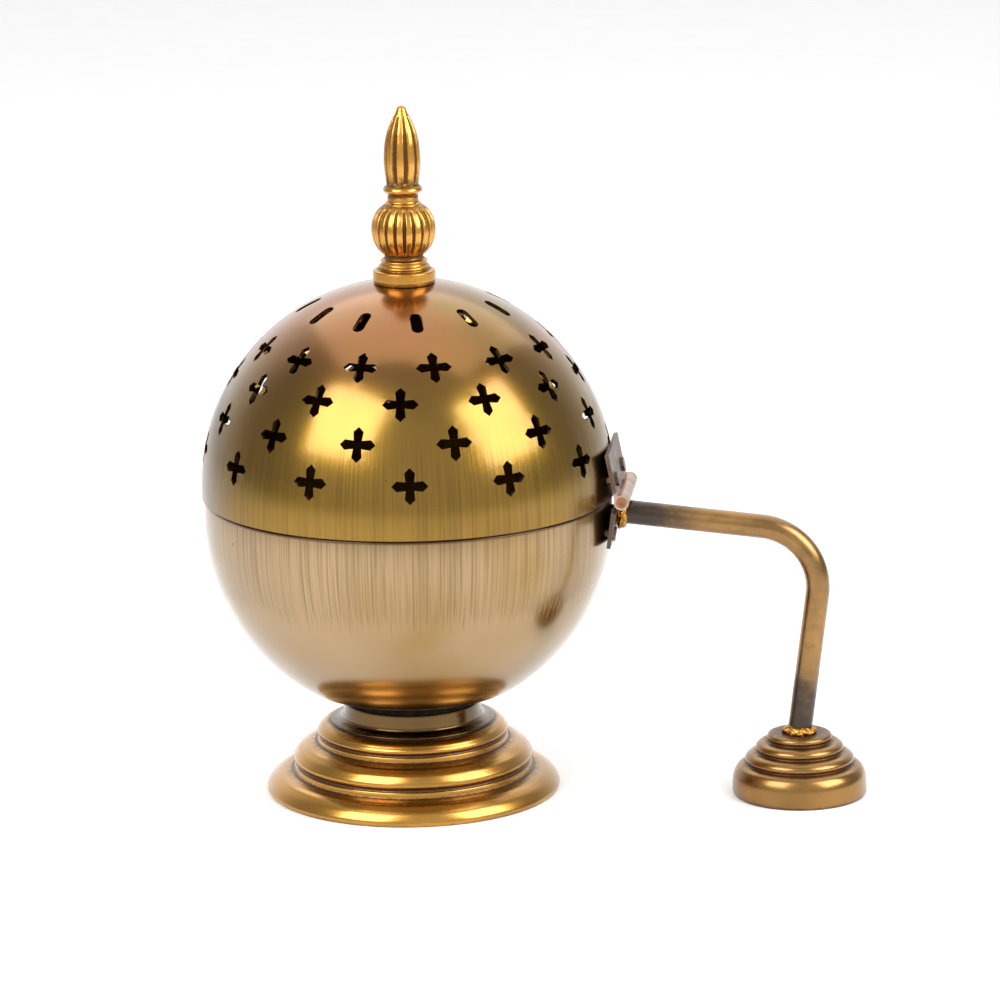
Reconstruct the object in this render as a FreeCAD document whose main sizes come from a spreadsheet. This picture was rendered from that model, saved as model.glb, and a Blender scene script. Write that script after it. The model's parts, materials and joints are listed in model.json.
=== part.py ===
"""Footed brass hand censer: pierced dome lid hinged to a round bowl, stepped foot, bent handle rod.

Frame: millimetres, +Z up, origin at the centre of the main foot's underside.
+X points from the bowl towards the handle, and the lid's hinge pin lies along Y.
"""
import FreeCAD
import Part
import Sketcher
import math
import os

# ---------------------------------------------------------------- driving dimensions
# Each entry is a cell of the sheet "sizes". Lengths in mm, angles in degrees, counts plain.
DIMENSIONS = {
    # bowl: a spun ball with a flat floor and a short straight skirt at the rim
    "seam_gap": 0.5,
    "bowl_radius": 51.4,
    "bowl_skirt": 5.5,
    "bowl_flat_radius": 24.63,
    "bowl_floor_round": 4.0,
    "bowl_wall": 1.1,
    # locating ring soldered inside the bowl rim, which the lid closes over
    "lip_thickness": 0.9,
    "lip_stand_out": 2.5,
    # lid: a spun half ball with a short straight skirt
    "lid_overhang": 0.6,
    "lid_skirt": 2.57,
    "lid_wall": 1.1,
    # piercing: one row of slots near the top, then four rows of crosses
    "slot_count": 11.0,
    "slot_step": 32.7,
    "slot_latitude": 62.2,
    "slot_front": -76.0,
    "slot_length": 7.4,
    "slot_width": 3.0,
    "cross_count": 13.0,
    "cross_step": 28.6,
    "cross_latitude_top": 45.8,
    "cross_latitude_upper": 34.8,
    "cross_latitude_lower": 23.4,
    "cross_latitude_bottom": 12.3,
    "cross_front_top": -71.8,
    "cross_front_upper": -84.7,
    "cross_front_lower": -68.8,
    "cross_front_bottom": -82.2,
    "cross_reach": 4.5,
    "cross_shoulder": 3.25,
    "cross_neck_half": 1.05,
    "cross_flare_half": 1.3,
    # hinge between lid and bowl
    "hinge_stand_off": 3.0,
    "hinge_rise": 1.0,
    "hinge_width": 26.0,
    "knuckle_radius": 1.9,
    "middle_knuckle": 9.0,
    "knuckle_side_gap": 0.2,
    "knuckle_swing_gap": 0.3,
    "pin_radius": 1.3,
    "pin_run_clearance": 0.05,
    "pin_fixed_clearance": 0.02,
    "pin_stand_out": 0.3,
    "leaf_thickness": 1.0,
    "lid_leaf_tilt": 11.5,
    "bowl_leaf_tilt": 8.0,
    "bowl_leaf_drop": 10.7,
    "leaf_knuckle_gap": 0.8,
    # rivets that hold both leaves
    "rivet_radius": 1.0,
    "rivet_hole_clearance": 0.05,
    "rivet_head_radius": 1.8,
    "rivet_head_height": 0.7,
    "rivet_spread": 8.0,
    "lid_rivet_rise": 6.0,
    "bowl_rivet_drop": 8.1,
    "rivet_inner_gap": 0.75,
    # handle: a round rod bent once, standing on its own small foot
    "rod_radius": 3.0,
    "rod_knuckle_gap": 0.05,
    "handle_run": 53.7,
    "handle_corner_drop": 9.3,
    "rod_bend_radius": 15.5,
    "handle_leg_setback": 6.5,
    "rod_foot_engagement": 4.0,
    "tenon_radius": 1.5,
    "tenon_hole_clearance": 0.05,
    "tenon_head_overlap": 0.9,
    "tenon_head_height": 1.0,
    "tenon_washer_overlap": 1.0,
    "tenon_washer_thickness": 0.9,
    "tenon_washer_setback": 0.45,
    "braze_spread": 1.4,
    "braze_length": 2.6,
    "braze_clearance": 0.02,
    # main foot: spun shell of three rounded steps, widest first
    "foot_wall": 1.3,
    "foot_radius_high": 24.0,
    "foot_tread_mid": 6.1,
    "foot_tread_low": 7.2,
    "foot_rise_low": 5.3,
    "foot_rise_mid": 7.2,
    "foot_rise_high": 5.6,
    "foot_round_low": 3.8,
    "foot_round_mid": 3.3,
    "foot_round_high": 2.8,
    "foot_cove": 0.8,
    # neck between foot and bowl
    "neck_flare_setback": 0.5,
    "neck_flare_width": 3.3,
    "neck_height": 4.5,
    "neck_flare_edge": 0.5,
    "neck_flare_rise": 2.4,
    "neck_bore_room": 5.0,
    "spacer_setback": 0.3,
    "spacer_height": 4.4,
    "spacer_round": 1.2,
    # screw that clamps foot, neck, spacer and bowl floor together
    "screw_radius": 3.0,
    "screw_hole_clearance": 0.2,
    "screw_thread_clearance": 0.02,
    "screw_head_overlap": 2.5,
    "screw_head_height": 2.8,
    "screw_tail": 1.5,
    "screw_slot_width": 1.4,
    "screw_slot_depth": 1.2,
    "screw_washer_overlap": 2.0,
    "screw_washer_thickness": 1.0,
    "nut_wall": 2.0,
    "nut_height": 4.5,
    # handle foot: spun shell of four small rounded steps
    "small_foot_wall": 1.1,
    "small_foot_radius_top": 8.2,
    "small_foot_tread_high": 2.9,
    "small_foot_tread_mid": 2.7,
    "small_foot_tread_low": 3.2,
    "small_foot_rise_low": 7.9,
    "small_foot_rise_mid": 3.0,
    "small_foot_rise_high": 2.7,
    "small_foot_rise_top": 2.2,
    "small_foot_round_low": 2.7,
    "small_foot_round_mid": 1.7,
    "small_foot_round_high": 1.6,
    "small_foot_round_top": 1.3,
    "small_foot_cove": 0.4,
    "small_foot_bore_clearance": 0.2,
    "foot_braze_spread": 2.0,
    "foot_braze_top_spread": 0.3,
    "foot_braze_height": 3.0,
    # finial: three turned pieces on a stud through the top of the lid
    "stud_radius": 2.0,
    "stud_clearance": 0.05,
    "stud_tip_depth": 10.0,
    "finial_base_radius": 7.95,
    "finial_base_height": 2.9,
    "finial_flare_radius": 6.6,
    "finial_flare_height": 6.6,
    "finial_flare_sweep": 6.0,
    "finial_base_round": 0.7,
    "knop_radius": 8.2,
    "knop_height": 14.2,
    "knop_end_radius": 5.4,
    "knop_flute_count": 16.0,
    "knop_flute_radius": 0.9,
    "knop_flute_depth": 0.45,
    "bud_neck_radius": 4.4,
    "bud_neck_height": 0.7,
    "bud_ring_radius": 5.15,
    "bud_ring_height": 2.3,
    "bud_base_radius": 4.2,
    "bud_radius": 4.9,
    "bud_height": 21.3,
    "bud_widest_height": 6.5,
    "bud_tip_radius": 1.2,
    "bud_cap_height": 2.6,
    "bud_flute_count": 10.0,
    "bud_flute_radius": 0.7,
    "bud_flute_depth": 0.45,
    "finial_washer_overlap": 3.0,
    "finial_washer_thickness": 0.8,
    "finial_nut_wall": 1.5,
    "finial_nut_height": 3.0,
    "finial_stud_tail": 1.0,
    # removable ember cup, which hangs by its flange on the curve of the bowl
    "cup_side_room": 5.3,
    "cup_flange_width": 5.5,
    "cup_taper": 13.5,
    "cup_floor_gap": 1.3,
    "cup_wall": 1.0,
    "cup_seat_gap": 0.5,
}

FULL_TURN = 360.0
RIGHT_ANGLE = 90.0
HEXAGON_HALF_ANGLE = 30.0
# how far a cutting tool runs past what it cuts: a little, and well clear
CUT_MARGIN = 2.0
CUT_REACH = 8.0
# least flat between two roundings of a turned step
LEAST_LAND = 0.1


# ---------------------------------------------------------------- sizes that stay bound to the sheet
class Size:
    """A number together with the sheet expression that gives it."""

    def __init__(self, value, text):
        self.value = float(value)
        self.text = text

    @staticmethod
    def of(other):
        return other if isinstance(other, Size) else Size(other, repr(float(other)))

    def _join(self, other, sign, value):
        return Size(value, "(" + self.text + " " + sign + " " + other.text + ")")

    def __add__(self, other):
        other = Size.of(other)
        return self._join(other, "+", self.value + other.value)

    def __radd__(self, other):
        return Size.of(other) + self

    def __sub__(self, other):
        other = Size.of(other)
        return self._join(other, "-", self.value - other.value)

    def __rsub__(self, other):
        return Size.of(other) - self

    def __mul__(self, other):
        other = Size.of(other)
        return self._join(other, "*", self.value * other.value)

    def __rmul__(self, other):
        return Size.of(other) * self

    def __truediv__(self, other):
        other = Size.of(other)
        return self._join(other, "/", self.value / other.value)

    def __neg__(self):
        return Size(0.0, "0.0") - self


def root(number):
    return Size(math.sqrt(number.value), "sqrt(" + number.text + ")")


def smaller(first, second):
    text = "min(" + first.text + "; " + second.text + ")"
    return Size(min(first.value, second.value), text)


def larger(first, second):
    text = "max(" + first.text + "; " + second.text + ")"
    return Size(max(first.value, second.value), text)


def sine(degrees):
    degrees = Size.of(degrees)
    return Size(math.sin(math.radians(degrees.value)), "sin(" + degrees.text + ")")


def cosine(degrees):
    degrees = Size.of(degrees)
    return Size(math.cos(math.radians(degrees.value)), "cos(" + degrees.text + ")")


def arc_angle(rise, radius):
    """Angle in degrees that an arc of this radius climbs through while it rises by rise."""
    value = math.degrees(math.asin(rise.value / radius.value))
    return Size(value, "(asin(" + rise.text + " / " + radius.text + ") / 1 deg)")


def slope_angle(rise, run):
    """Angle in degrees of a line that rises by rise over run."""
    value = math.degrees(math.atan2(rise.value, run.value))
    return Size(value, "(atan(" + rise.text + " / " + run.text + ") / 1 deg)")


def make_sheet(doc):
    sheet = doc.addObject("Spreadsheet::Sheet", "sizes")
    cells = {}
    for row, (alias, number) in enumerate(DIMENSIONS.items(), start=1):
        sheet.set("A%d" % row, alias.replace("_", " "))
        sheet.set("B%d" % row, str(number))
        sheet.setAlias("B%d" % row, alias)
        cells[alias] = Size(number, "sizes." + alias)
    doc.recompute()
    return cells


DOC = FreeCAD.newDocument("censer")
D = make_sheet(DOC)
SUB_PARTS = []


# ---------------------------------------------------------------- shared modelling steps
def bind(obj, **sizes):
    """Bind properties of obj to expressions; a plain number is set as it stands."""
    for name, size in sizes.items():
        size = Size.of(size)
        obj.setExpression(name, size.text)


def place(obj, spot, turn_axis=(0, 1, 0), turn=0.0, path="Placement"):
    """Put obj at spot, turned about turn_axis, by one bound placement expression."""
    x, y, z = (Size.of(v).text for v in spot)
    axis = "create(<<vector>>; %d; %d; %d)" % turn_axis
    obj.setExpression(
        path,
        "create(<<placement>>; create(<<vector>>; %s; %s; %s); create(<<rotation>>; %s; %s))"
        % (x, y, z, axis, Size.of(turn).text),
    )


def place_euler(obj, spot, yaw, pitch, roll, path):
    """Put obj at spot with a yaw, pitch and roll in degrees."""
    x, y, z = (Size.of(v).text for v in spot)
    angles = "; ".join(Size.of(a).text for a in (yaw, pitch, roll))
    obj.setExpression(
        path,
        "create(<<placement>>; create(<<vector>>; %s; %s; %s); create(<<rotation>>; %s))"
        % (x, y, z, angles),
    )


def origin_feature(body, role):
    return next(f for f in body.Origin.OriginFeatures if f.Role == role)


def new_body(name):
    body = DOC.addObject("PartDesign::Body", name)
    body.Label = name
    return body


def new_sketch(body, name, role):
    sketch = body.newObject("Sketcher::SketchObject", name)
    sketch.AttachmentSupport = [(origin_feature(body, role), "")]
    sketch.MapMode = "FlatFace"
    return sketch


def line(across, height):
    return ("line", Size.of(across), Size.of(height))


def arc(across, height, radius, turn):
    """Minor arc to a corner; turn is 1 when it runs counter-clockwise, -1 when clockwise."""
    return ("arc", Size.of(across), Size.of(height), Size.of(radius), turn)


def add_arc(sketch, start, end, radius, turn):
    """Add the arc and give the vertex numbers of its first and last corners."""
    if turn < 0:
        start, end = end, start
    middle = (start + end) * 0.5
    chord = end - start
    height = math.sqrt(max(radius * radius - chord.Length * chord.Length / 4.0, 0.0))
    normal = FreeCAD.Vector(-chord.y, chord.x, 0).normalize()
    centre = middle + normal * height
    first = math.atan2(start.y - centre.y, start.x - centre.x)
    last = math.atan2(end.y - centre.y, end.x - centre.x)
    circle = Part.Circle(centre, FreeCAD.Vector(0, 0, 1), radius)
    sketch.addGeometry(Part.ArcOfCircle(circle, first, last))
    return (1, 2) if turn > 0 else (2, 1)


def draw_outline(sketch, steps):
    """Closed outline through the corners in steps, each corner fixed from the sketch origin."""
    corners = [FreeCAD.Vector(s[1].value, s[2].value, 0) for s in steps]
    ends = []
    for index, step in enumerate(steps):
        start = corners[index - 1]
        if step[0] == "line":
            sketch.addGeometry(Part.LineSegment(start, corners[index]))
            ends.append((1, 2))
        else:
            ends.append(add_arc(sketch, start, corners[index], step[3].value, step[4]))
    for index, step in enumerate(steps):
        after = (index + 1) % len(steps)
        join = Sketcher.Constraint("Coincident", index, ends[index][1], after, ends[after][0])
        sketch.addConstraint(join)
        for kind, name, size in (("DistanceX", "across", step[1]), ("DistanceY", "height", step[2])):
            number = sketch.addConstraint(
                Sketcher.Constraint(kind, -1, 1, index, ends[index][1], size.value)
            )
            sketch.renameConstraint(number, "%s_%d" % (name, index))
            sketch.setExpression("Constraints.%s_%d" % (name, index), size.text)
        if step[0] == "arc":
            number = sketch.addConstraint(Sketcher.Constraint("Radius", index, step[3].value))
            sketch.renameConstraint(number, "bend_%d" % index)
            sketch.setExpression("Constraints.bend_%d" % index, step[3].text)


def turned(name, steps):
    """Body made by turning an outline (distance from the axis, height) about Z."""
    body = new_body(name)
    sketch = new_sketch(body, name + "_outline", "XZ_Plane")
    draw_outline(sketch, steps)
    revolution = body.newObject("PartDesign::Revolution", name + "_turning")
    revolution.Profile = (sketch, [""])
    revolution.ReferenceAxis = (sketch, ["V_Axis"])
    revolution.Angle = FULL_TURN
    body.Tip = revolution
    DOC.recompute()
    return body


def cylinder(name, radius, length, spot=(0, 0, 0), turn_axis=(0, 1, 0), turn=0.0):
    rod = DOC.addObject("Part::Cylinder", name)
    bind(rod, Radius=radius, Height=length)
    place(rod, spot, turn_axis, turn)
    return rod


def block(name, length, width, height, spot, turn=0.0):
    box = DOC.addObject("Part::Box", name)
    bind(box, Length=length, Width=width, Height=height)
    place(box, spot, (0, 1, 0), turn)
    return box


def fused(name, pieces):
    result = DOC.addObject("Part::MultiFuse", name)
    result.Shapes = pieces
    return result


def cut(name, base, tool):
    result = DOC.addObject("Part::Cut", name)
    result.Base = base
    result.Tool = tool
    return result


def keep(obj, name):
    """List obj as a finished sub-part under its node name."""
    obj.Label = name
    SUB_PARTS.append(obj)
    return obj


def washer(name, inner, outer, low, high):
    return turned(name, [line(inner, low), line(outer, low), line(outer, high), line(inner, high)])


def hexagon_nut(name, across_flats, bore, low, height):
    """Hexagon nut about Z with its lower face at low."""
    prism = DOC.addObject("Part::Prism", name + "_blank")
    prism.Polygon = 6
    bind(prism, Circumradius=across_flats / (2.0 * cosine(HEXAGON_HALF_ANGLE)), Height=height)
    place(prism, (0, 0, low))
    hole = cylinder(name + "_bore", bore, height + 2 * CUT_MARGIN, (0, 0, low - CUT_MARGIN))
    return cut(name, prism, hole)


# ---------------------------------------------------------------- places that several pieces share
def on_ball(radius, across):
    """Height above a ball's centre of the point at this distance from its axis."""
    return root(radius * radius - across * across)


# the stack, from the surface that the foot stands on up to the seam between bowl and lid
FOOT_DECK = D["foot_rise_low"] + D["foot_rise_mid"] + D["foot_rise_high"]
NECK_TOP = FOOT_DECK + D["neck_height"]
BOWL_FLOOR = NECK_TOP + D["spacer_height"]
BOWL_FLOOR_TOP = BOWL_FLOOR + D["bowl_wall"]
FLOOR_BALL_REACH = D["bowl_radius"] - D["bowl_floor_round"]
FLOOR_ARC_DROP = on_ball(FLOOR_BALL_REACH, D["bowl_flat_radius"])
BOWL_CENTRE = BOWL_FLOOR + D["bowl_floor_round"] + FLOOR_ARC_DROP
SEAM = BOWL_CENTRE + D["bowl_skirt"]
BOWL_RIM = SEAM - D["seam_gap"] / 2
BOWL_INNER = D["bowl_radius"] - D["bowl_wall"]
LID_CENTRE = SEAM + D["lid_skirt"]
LID_RIM = SEAM + D["seam_gap"] / 2
LID_RADIUS = D["bowl_radius"] + D["lid_overhang"]
LID_INNER = LID_RADIUS - D["lid_wall"]
STUD_BORE = D["stud_radius"] + D["stud_clearance"]
SCREW_BORE = D["screw_radius"] + D["screw_hole_clearance"]
SCREW_HEAD = D["screw_radius"] + D["screw_head_overlap"]
SCREW_WASHER = SCREW_HEAD + D["screw_washer_overlap"]
SCREW_TOP = BOWL_FLOOR_TOP + D["screw_washer_thickness"] + D["screw_head_height"]
NECK_BORE = D["screw_radius"] + D["neck_bore_room"]
NECK_FLARE = D["foot_radius_high"] - D["foot_round_high"] - D["neck_flare_setback"]
NECK_RADIUS = NECK_FLARE - D["neck_flare_width"]
HINGE_REACH = LID_RADIUS + D["hinge_stand_off"]
HINGE_HEIGHT = SEAM + D["hinge_rise"]
HINGE_HALF = D["hinge_width"] / 2
BOWL_LEAF_TOP_DROP = D["knuckle_radius"] - D["hinge_rise"] + D["leaf_knuckle_gap"]

# handle route: a sloping run, one bend and a leg that leans back to its foot
HANDLE_DECK = (
    D["small_foot_rise_low"] + D["small_foot_rise_mid"] + D["small_foot_rise_high"] + D["small_foot_rise_top"]
)
ROD_START_HEIGHT = HINGE_HEIGHT - D["knuckle_radius"] - D["rod_knuckle_gap"] - D["rod_radius"]
HANDLE_CORNER = D["bowl_radius"] + D["handle_run"]
HANDLE_CORNER_HEIGHT = SEAM - D["handle_corner_drop"]
HANDLE_FOOT = HANDLE_CORNER - D["handle_leg_setback"]
ROD_SLOPE = slope_angle(ROD_START_HEIGHT - HANDLE_CORNER_HEIGHT, D["handle_run"])
LEG_LEAN = slope_angle(D["handle_leg_setback"], HANDLE_CORNER_HEIGHT - HANDLE_DECK)
ROD_TURN = RIGHT_ANGLE + LEG_LEAN - ROD_SLOPE
BEND_TANGENT = D["rod_bend_radius"] * sine(ROD_TURN / 2) / cosine(ROD_TURN / 2)
BEND_START = (
    HANDLE_CORNER - BEND_TANGENT * cosine(ROD_SLOPE),
    HANDLE_CORNER_HEIGHT + BEND_TANGENT * sine(ROD_SLOPE),
)
BEND_END = (
    HANDLE_CORNER - BEND_TANGENT * sine(LEG_LEAN),
    HANDLE_CORNER_HEIGHT - BEND_TANGENT * cosine(LEG_LEAN),
)
ROD_HEADING = RIGHT_ANGLE + ROD_SLOPE


def along_rod(distance):
    """Point on the rod's first run, measured outwards from the bowl's widest radius."""
    return (
        D["bowl_radius"] + distance * cosine(ROD_SLOPE),
        0,
        ROD_START_HEIGHT - distance * sine(ROD_SLOPE),
    )


# ---------------------------------------------------------------- bowl
def make_bowl():
    """Spun ball with a flat floor, holes for the floor screw, the handle tenon and two rivets."""
    radius, wall, rounding = D["bowl_radius"], D["bowl_wall"], D["bowl_floor_round"]
    flat = D["bowl_flat_radius"]

    def tangent_point(ball):
        share = ball / FLOOR_BALL_REACH
        return flat * share, BOWL_CENTRE - FLOOR_ARC_DROP * share

    outer_r, outer_z = tangent_point(radius)
    inner_r, inner_z = tangent_point(BOWL_INNER)
    shell = turned("bowl_shell", [
        line(SCREW_BORE, BOWL_FLOOR),
        line(flat, BOWL_FLOOR),
        arc(outer_r, outer_z, rounding, 1),
        arc(radius, BOWL_CENTRE, radius, 1),
        line(radius, BOWL_RIM),
        line(BOWL_INNER, BOWL_RIM),
        line(BOWL_INNER, BOWL_CENTRE),
        arc(inner_r, inner_z, BOWL_INNER, -1),
        arc(flat, BOWL_FLOOR_TOP, rounding - wall, -1),
        line(SCREW_BORE, BOWL_FLOOR_TOP),
    ])
    holes = [tenon_hole("bowl_tenon_hole")] + rivet_holes("bowl_rivet_hole", bowl_rivet_seat())
    keep(cut("bowl", shell, fused("bowl_holes", holes)), "bowl")


def tenon_hole(name):
    radius = D["tenon_radius"] + D["tenon_hole_clearance"]
    return cylinder(name, radius, 2 * CUT_REACH, along_rod(-CUT_REACH), (0, 1, 0), ROD_HEADING)


def make_lip_ring():
    """Ring soldered inside the bowl rim; it stands above the seam so the lid closes over it."""
    inner = BOWL_INNER - D["lip_thickness"]
    ring = washer("bowl_lip_blank", inner, BOWL_INNER, BOWL_CENTRE, SEAM + D["lip_stand_out"])
    keep(cut("bowl_lip_ring", ring, tenon_hole("lip_tenon_hole")), "bowl_lip_ring")


# ---------------------------------------------------------------- lid
def lid_window(body, name, latitude, front, count, step, steps):
    """Cut one row of equal windows through the dome, centred on the azimuth front."""
    first = front - step * (count - 1) / 2
    reach = LID_RADIUS + CUT_MARGIN
    spot = (
        reach * cosine(latitude) * cosine(first),
        reach * cosine(latitude) * sine(first),
        LID_CENTRE + reach * sine(latitude),
    )
    sketch = new_sketch(body, name + "_outline", "XY_Plane")
    place_euler(sketch, spot, first + RIGHT_ANGLE, 0, RIGHT_ANGLE - latitude, "AttachmentOffset")
    draw_outline(sketch, steps)
    DOC.recompute()
    before = body.Shape.Volume
    pocket = body.newObject("PartDesign::Pocket", name)
    pocket.Profile = (sketch, [""])
    pocket.Type = "Length"
    bind(pocket, Length=D["lid_wall"] + CUT_REACH)
    body.Tip = pocket
    DOC.recompute()
    if body.Shape.Volume >= before:
        raise RuntimeError(name + " cuts nothing")
    pattern = body.newObject("PartDesign::PolarPattern", name + "_row")
    pattern.Originals = [pocket]
    pattern.Axis = (origin_feature(body, "Z_Axis"), [""])
    pattern.Occurrences = int(count.value)
    bind(pattern, Angle=step * (count - 1), Occurrences=count)
    body.Tip = pattern
    DOC.recompute()


def slot_outline():
    """Slot with round ends, its length up the dome."""
    half, straight = D["slot_width"] / 2, (D["slot_length"] - D["slot_width"]) / 2
    return [
        line(half, straight),
        arc(0, straight + half, half, 1),
        arc(-half, straight, half, 1),
        line(-half, -straight),
        arc(0, -straight - half, half, 1),
        arc(half, -straight, half, 1),
    ]


def cross_outline():
    """Equal-armed cross; each arm widens a little and ends in a point."""
    neck, flare = D["cross_neck_half"], D["cross_flare_half"]
    shoulder, tip = D["cross_shoulder"], D["cross_reach"]
    arm = [(neck, -neck), (shoulder, -flare), (tip, Size.of(0)), (shoulder, flare)]
    corners = []
    for _ in range(4):
        corners += arm
        arm = [(-up, across) for across, up in arm]
    return [line(across, up) for across, up in corners]


def make_lid_dome():
    """Spun half ball with a stud hole at the top, rows of windows and two rivet holes."""
    body = turned("lid_shell", [
        line(LID_RADIUS, LID_RIM),
        line(LID_RADIUS, LID_CENTRE),
        arc(STUD_BORE, LID_CENTRE + on_ball(LID_RADIUS, STUD_BORE), LID_RADIUS, 1),
        line(STUD_BORE, LID_CENTRE + on_ball(LID_INNER, STUD_BORE)),
        arc(LID_INNER, LID_CENTRE, LID_INNER, -1),
        line(LID_INNER, LID_RIM),
    ])
    lid_window(body, "top_slots", D["slot_latitude"], D["slot_front"], D["slot_count"], D["slot_step"],
               slot_outline())
    for row in ("top", "upper", "lower", "bottom"):
        lid_window(body, row + "_crosses", D["cross_latitude_" + row], D["cross_front_" + row],
                   D["cross_count"], D["cross_step"], cross_outline())
    holes = fused("lid_holes", rivet_holes("lid_rivet_hole", lid_rivet_seat()))
    keep(cut("lid_dome", body, holes), "lid_dome")


# ---------------------------------------------------------------- hinge
def lid_leaf_face(rise):
    """Distance from the axis of the lid leaf's inner face, this far above the seam."""
    tilt = D["lid_leaf_tilt"]
    return (LID_RADIUS + (D["lid_skirt"] - rise) * sine(tilt)) / cosine(tilt)


def bowl_leaf_face(drop):
    """Distance from the axis of the bowl leaf's inner face, this far below the seam."""
    tilt = D["bowl_leaf_tilt"]
    return (D["bowl_radius"] + (D["bowl_skirt"] - drop) * sine(tilt)) / cosine(tilt)


def knuckle(name, radius, low, length):
    """Round barrel on the hinge axis, from low along Y."""
    spot = (HINGE_REACH, low + length, HINGE_HEIGHT)
    return cylinder(name, radius, length, spot, (1, 0, 0), RIGHT_ANGLE)


def make_lid_leaf():
    """Leaf riveted to the lid, ending in the two outer knuckles that grip the pin."""
    tilt = D["lid_leaf_tilt"]
    length = (D["lid_skirt"] + LID_RADIUS * sine(tilt) - D["hinge_rise"]) / cosine(tilt)
    plate = block("lid_leaf_plate", D["leaf_thickness"], D["hinge_width"], length,
                  (lid_leaf_face(D["hinge_rise"]), -HINGE_HALF, HINGE_HEIGHT), -tilt)
    barrel = knuckle("lid_knuckles", D["knuckle_radius"], -HINGE_HALF, D["hinge_width"])
    gap = D["middle_knuckle"] + 2 * D["knuckle_side_gap"]
    swing = D["knuckle_radius"] + D["knuckle_swing_gap"]
    notch = block("lid_leaf_notch", 2 * swing + CUT_MARGIN, gap, 2 * swing,
                  (HINGE_REACH - swing - CUT_MARGIN, -gap / 2, HINGE_HEIGHT - swing))
    bore = knuckle("lid_pin_bore", D["pin_radius"] + D["pin_fixed_clearance"], -D["hinge_width"],
                   2 * D["hinge_width"])
    holes = rivet_holes("lid_leaf_rivet_hole", lid_rivet_seat())
    blank = fused("lid_leaf_blank", [plate, barrel])
    keep(cut("lid_hinge_leaf", blank, fused("lid_leaf_cuts", [notch, bore] + holes)), "lid_hinge_leaf")


def bowl_leaf_block(name, thickness, width, low_drop, high_drop, setback=0.0):
    """Plate lying on the bowl leaf's inner face between two depths below the seam."""
    tilt = D["bowl_leaf_tilt"]
    length = (low_drop - high_drop) / cosine(tilt)
    spot = (
        bowl_leaf_face(low_drop) - setback * cosine(tilt),
        -width / 2,
        SEAM - low_drop + setback * sine(tilt),
    )
    return block(name, thickness, width, length, spot, tilt)


def make_bowl_leaf():
    """Leaf riveted to the bowl, ending in the middle knuckle that turns on the pin."""
    plate = bowl_leaf_block("bowl_leaf_plate", D["leaf_thickness"], D["hinge_width"], D["bowl_leaf_drop"],
                            BOWL_LEAF_TOP_DROP)
    stem = bowl_leaf_block("bowl_leaf_stem", D["leaf_thickness"], D["middle_knuckle"],
                           BOWL_LEAF_TOP_DROP + CUT_MARGIN / 2, -D["hinge_rise"])
    barrel = knuckle("bowl_knuckle", D["knuckle_radius"], -D["middle_knuckle"] / 2, D["middle_knuckle"])
    bore = knuckle("bowl_pin_bore", D["pin_radius"] + D["pin_run_clearance"], -D["hinge_width"],
                   2 * D["hinge_width"])
    holes = rivet_holes("bowl_leaf_rivet_hole", bowl_rivet_seat())
    tools = fused("bowl_leaf_cuts", [bore, tenon_hole("leaf_tenon_hole")] + holes)
    keep(cut("bowl_hinge_leaf", fused("bowl_leaf_blank", [plate, stem, barrel]), tools), "bowl_hinge_leaf")


def make_hinge_pin():
    """Plain pin, fixed in the lid's knuckles and turning in the bowl's."""
    length = D["hinge_width"] + 2 * D["pin_stand_out"]
    keep(knuckle("hinge_pin", D["pin_radius"], -length / 2, length), "hinge_pin")


# ---------------------------------------------------------------- rivets
def lid_rivet_seat():
    """Rivet spot on the lid leaf: outer face point, heading and depth to the dome's inside."""
    tilt, rise = D["lid_leaf_tilt"], D["lid_rivet_rise"]
    x = lid_leaf_face(rise) + D["leaf_thickness"] / cosine(tilt)
    inside = on_ball(LID_INNER, D["rivet_spread"])
    return x, SEAM + rise, RIGHT_ANGLE - tilt, x - inside


def bowl_rivet_seat():
    """Rivet spot on the bowl leaf: outer face point, heading and depth to the bowl's inside."""
    tilt, drop = D["bowl_leaf_tilt"], D["bowl_rivet_drop"]
    x = bowl_leaf_face(drop) + D["leaf_thickness"] / cosine(tilt)
    inside = on_ball(BOWL_INNER, D["rivet_spread"])
    return x, SEAM - drop, RIGHT_ANGLE + tilt, x - inside


def rivet_spot(seat, side, offset):
    """Point on a rivet's axis, offset outwards from the leaf's outer face."""
    x, z, heading, _ = seat
    return x + offset * sine(heading), side * D["rivet_spread"], z + offset * cosine(heading)


def rivet_holes(name, seat):
    radius = D["rivet_radius"] + D["rivet_hole_clearance"]
    start = -seat[3] - 2 * CUT_MARGIN
    return [
        cylinder("%s_%d" % (name, index), radius, 2 * CUT_MARGIN - start, rivet_spot(seat, side, start),
                 (0, 1, 0), seat[2])
        for index, side in enumerate((-1, 1))
    ]


def make_rivets(name, seat):
    """Pair of rivets with a head outside the leaf and a head inside the wall."""
    depth = seat[3] + D["rivet_inner_gap"]
    pieces = []
    for index, side in enumerate((-1, 1)):
        tag = "%s_%d" % (name, index)
        shank = cylinder(tag + "_shank", D["rivet_radius"], depth, rivet_spot(seat, side, -depth),
                         (0, 1, 0), seat[2])
        outer = cylinder(tag + "_outer_head", D["rivet_head_radius"], D["rivet_head_height"],
                         rivet_spot(seat, side, 0), (0, 1, 0), seat[2])
        inner = cylinder(tag + "_inner_head", D["rivet_head_radius"], D["rivet_head_height"],
                         rivet_spot(seat, side, -depth - D["rivet_head_height"]), (0, 1, 0), seat[2])
        pieces += [shank, outer, inner]
    keep(fused(name, pieces), name)


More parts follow.
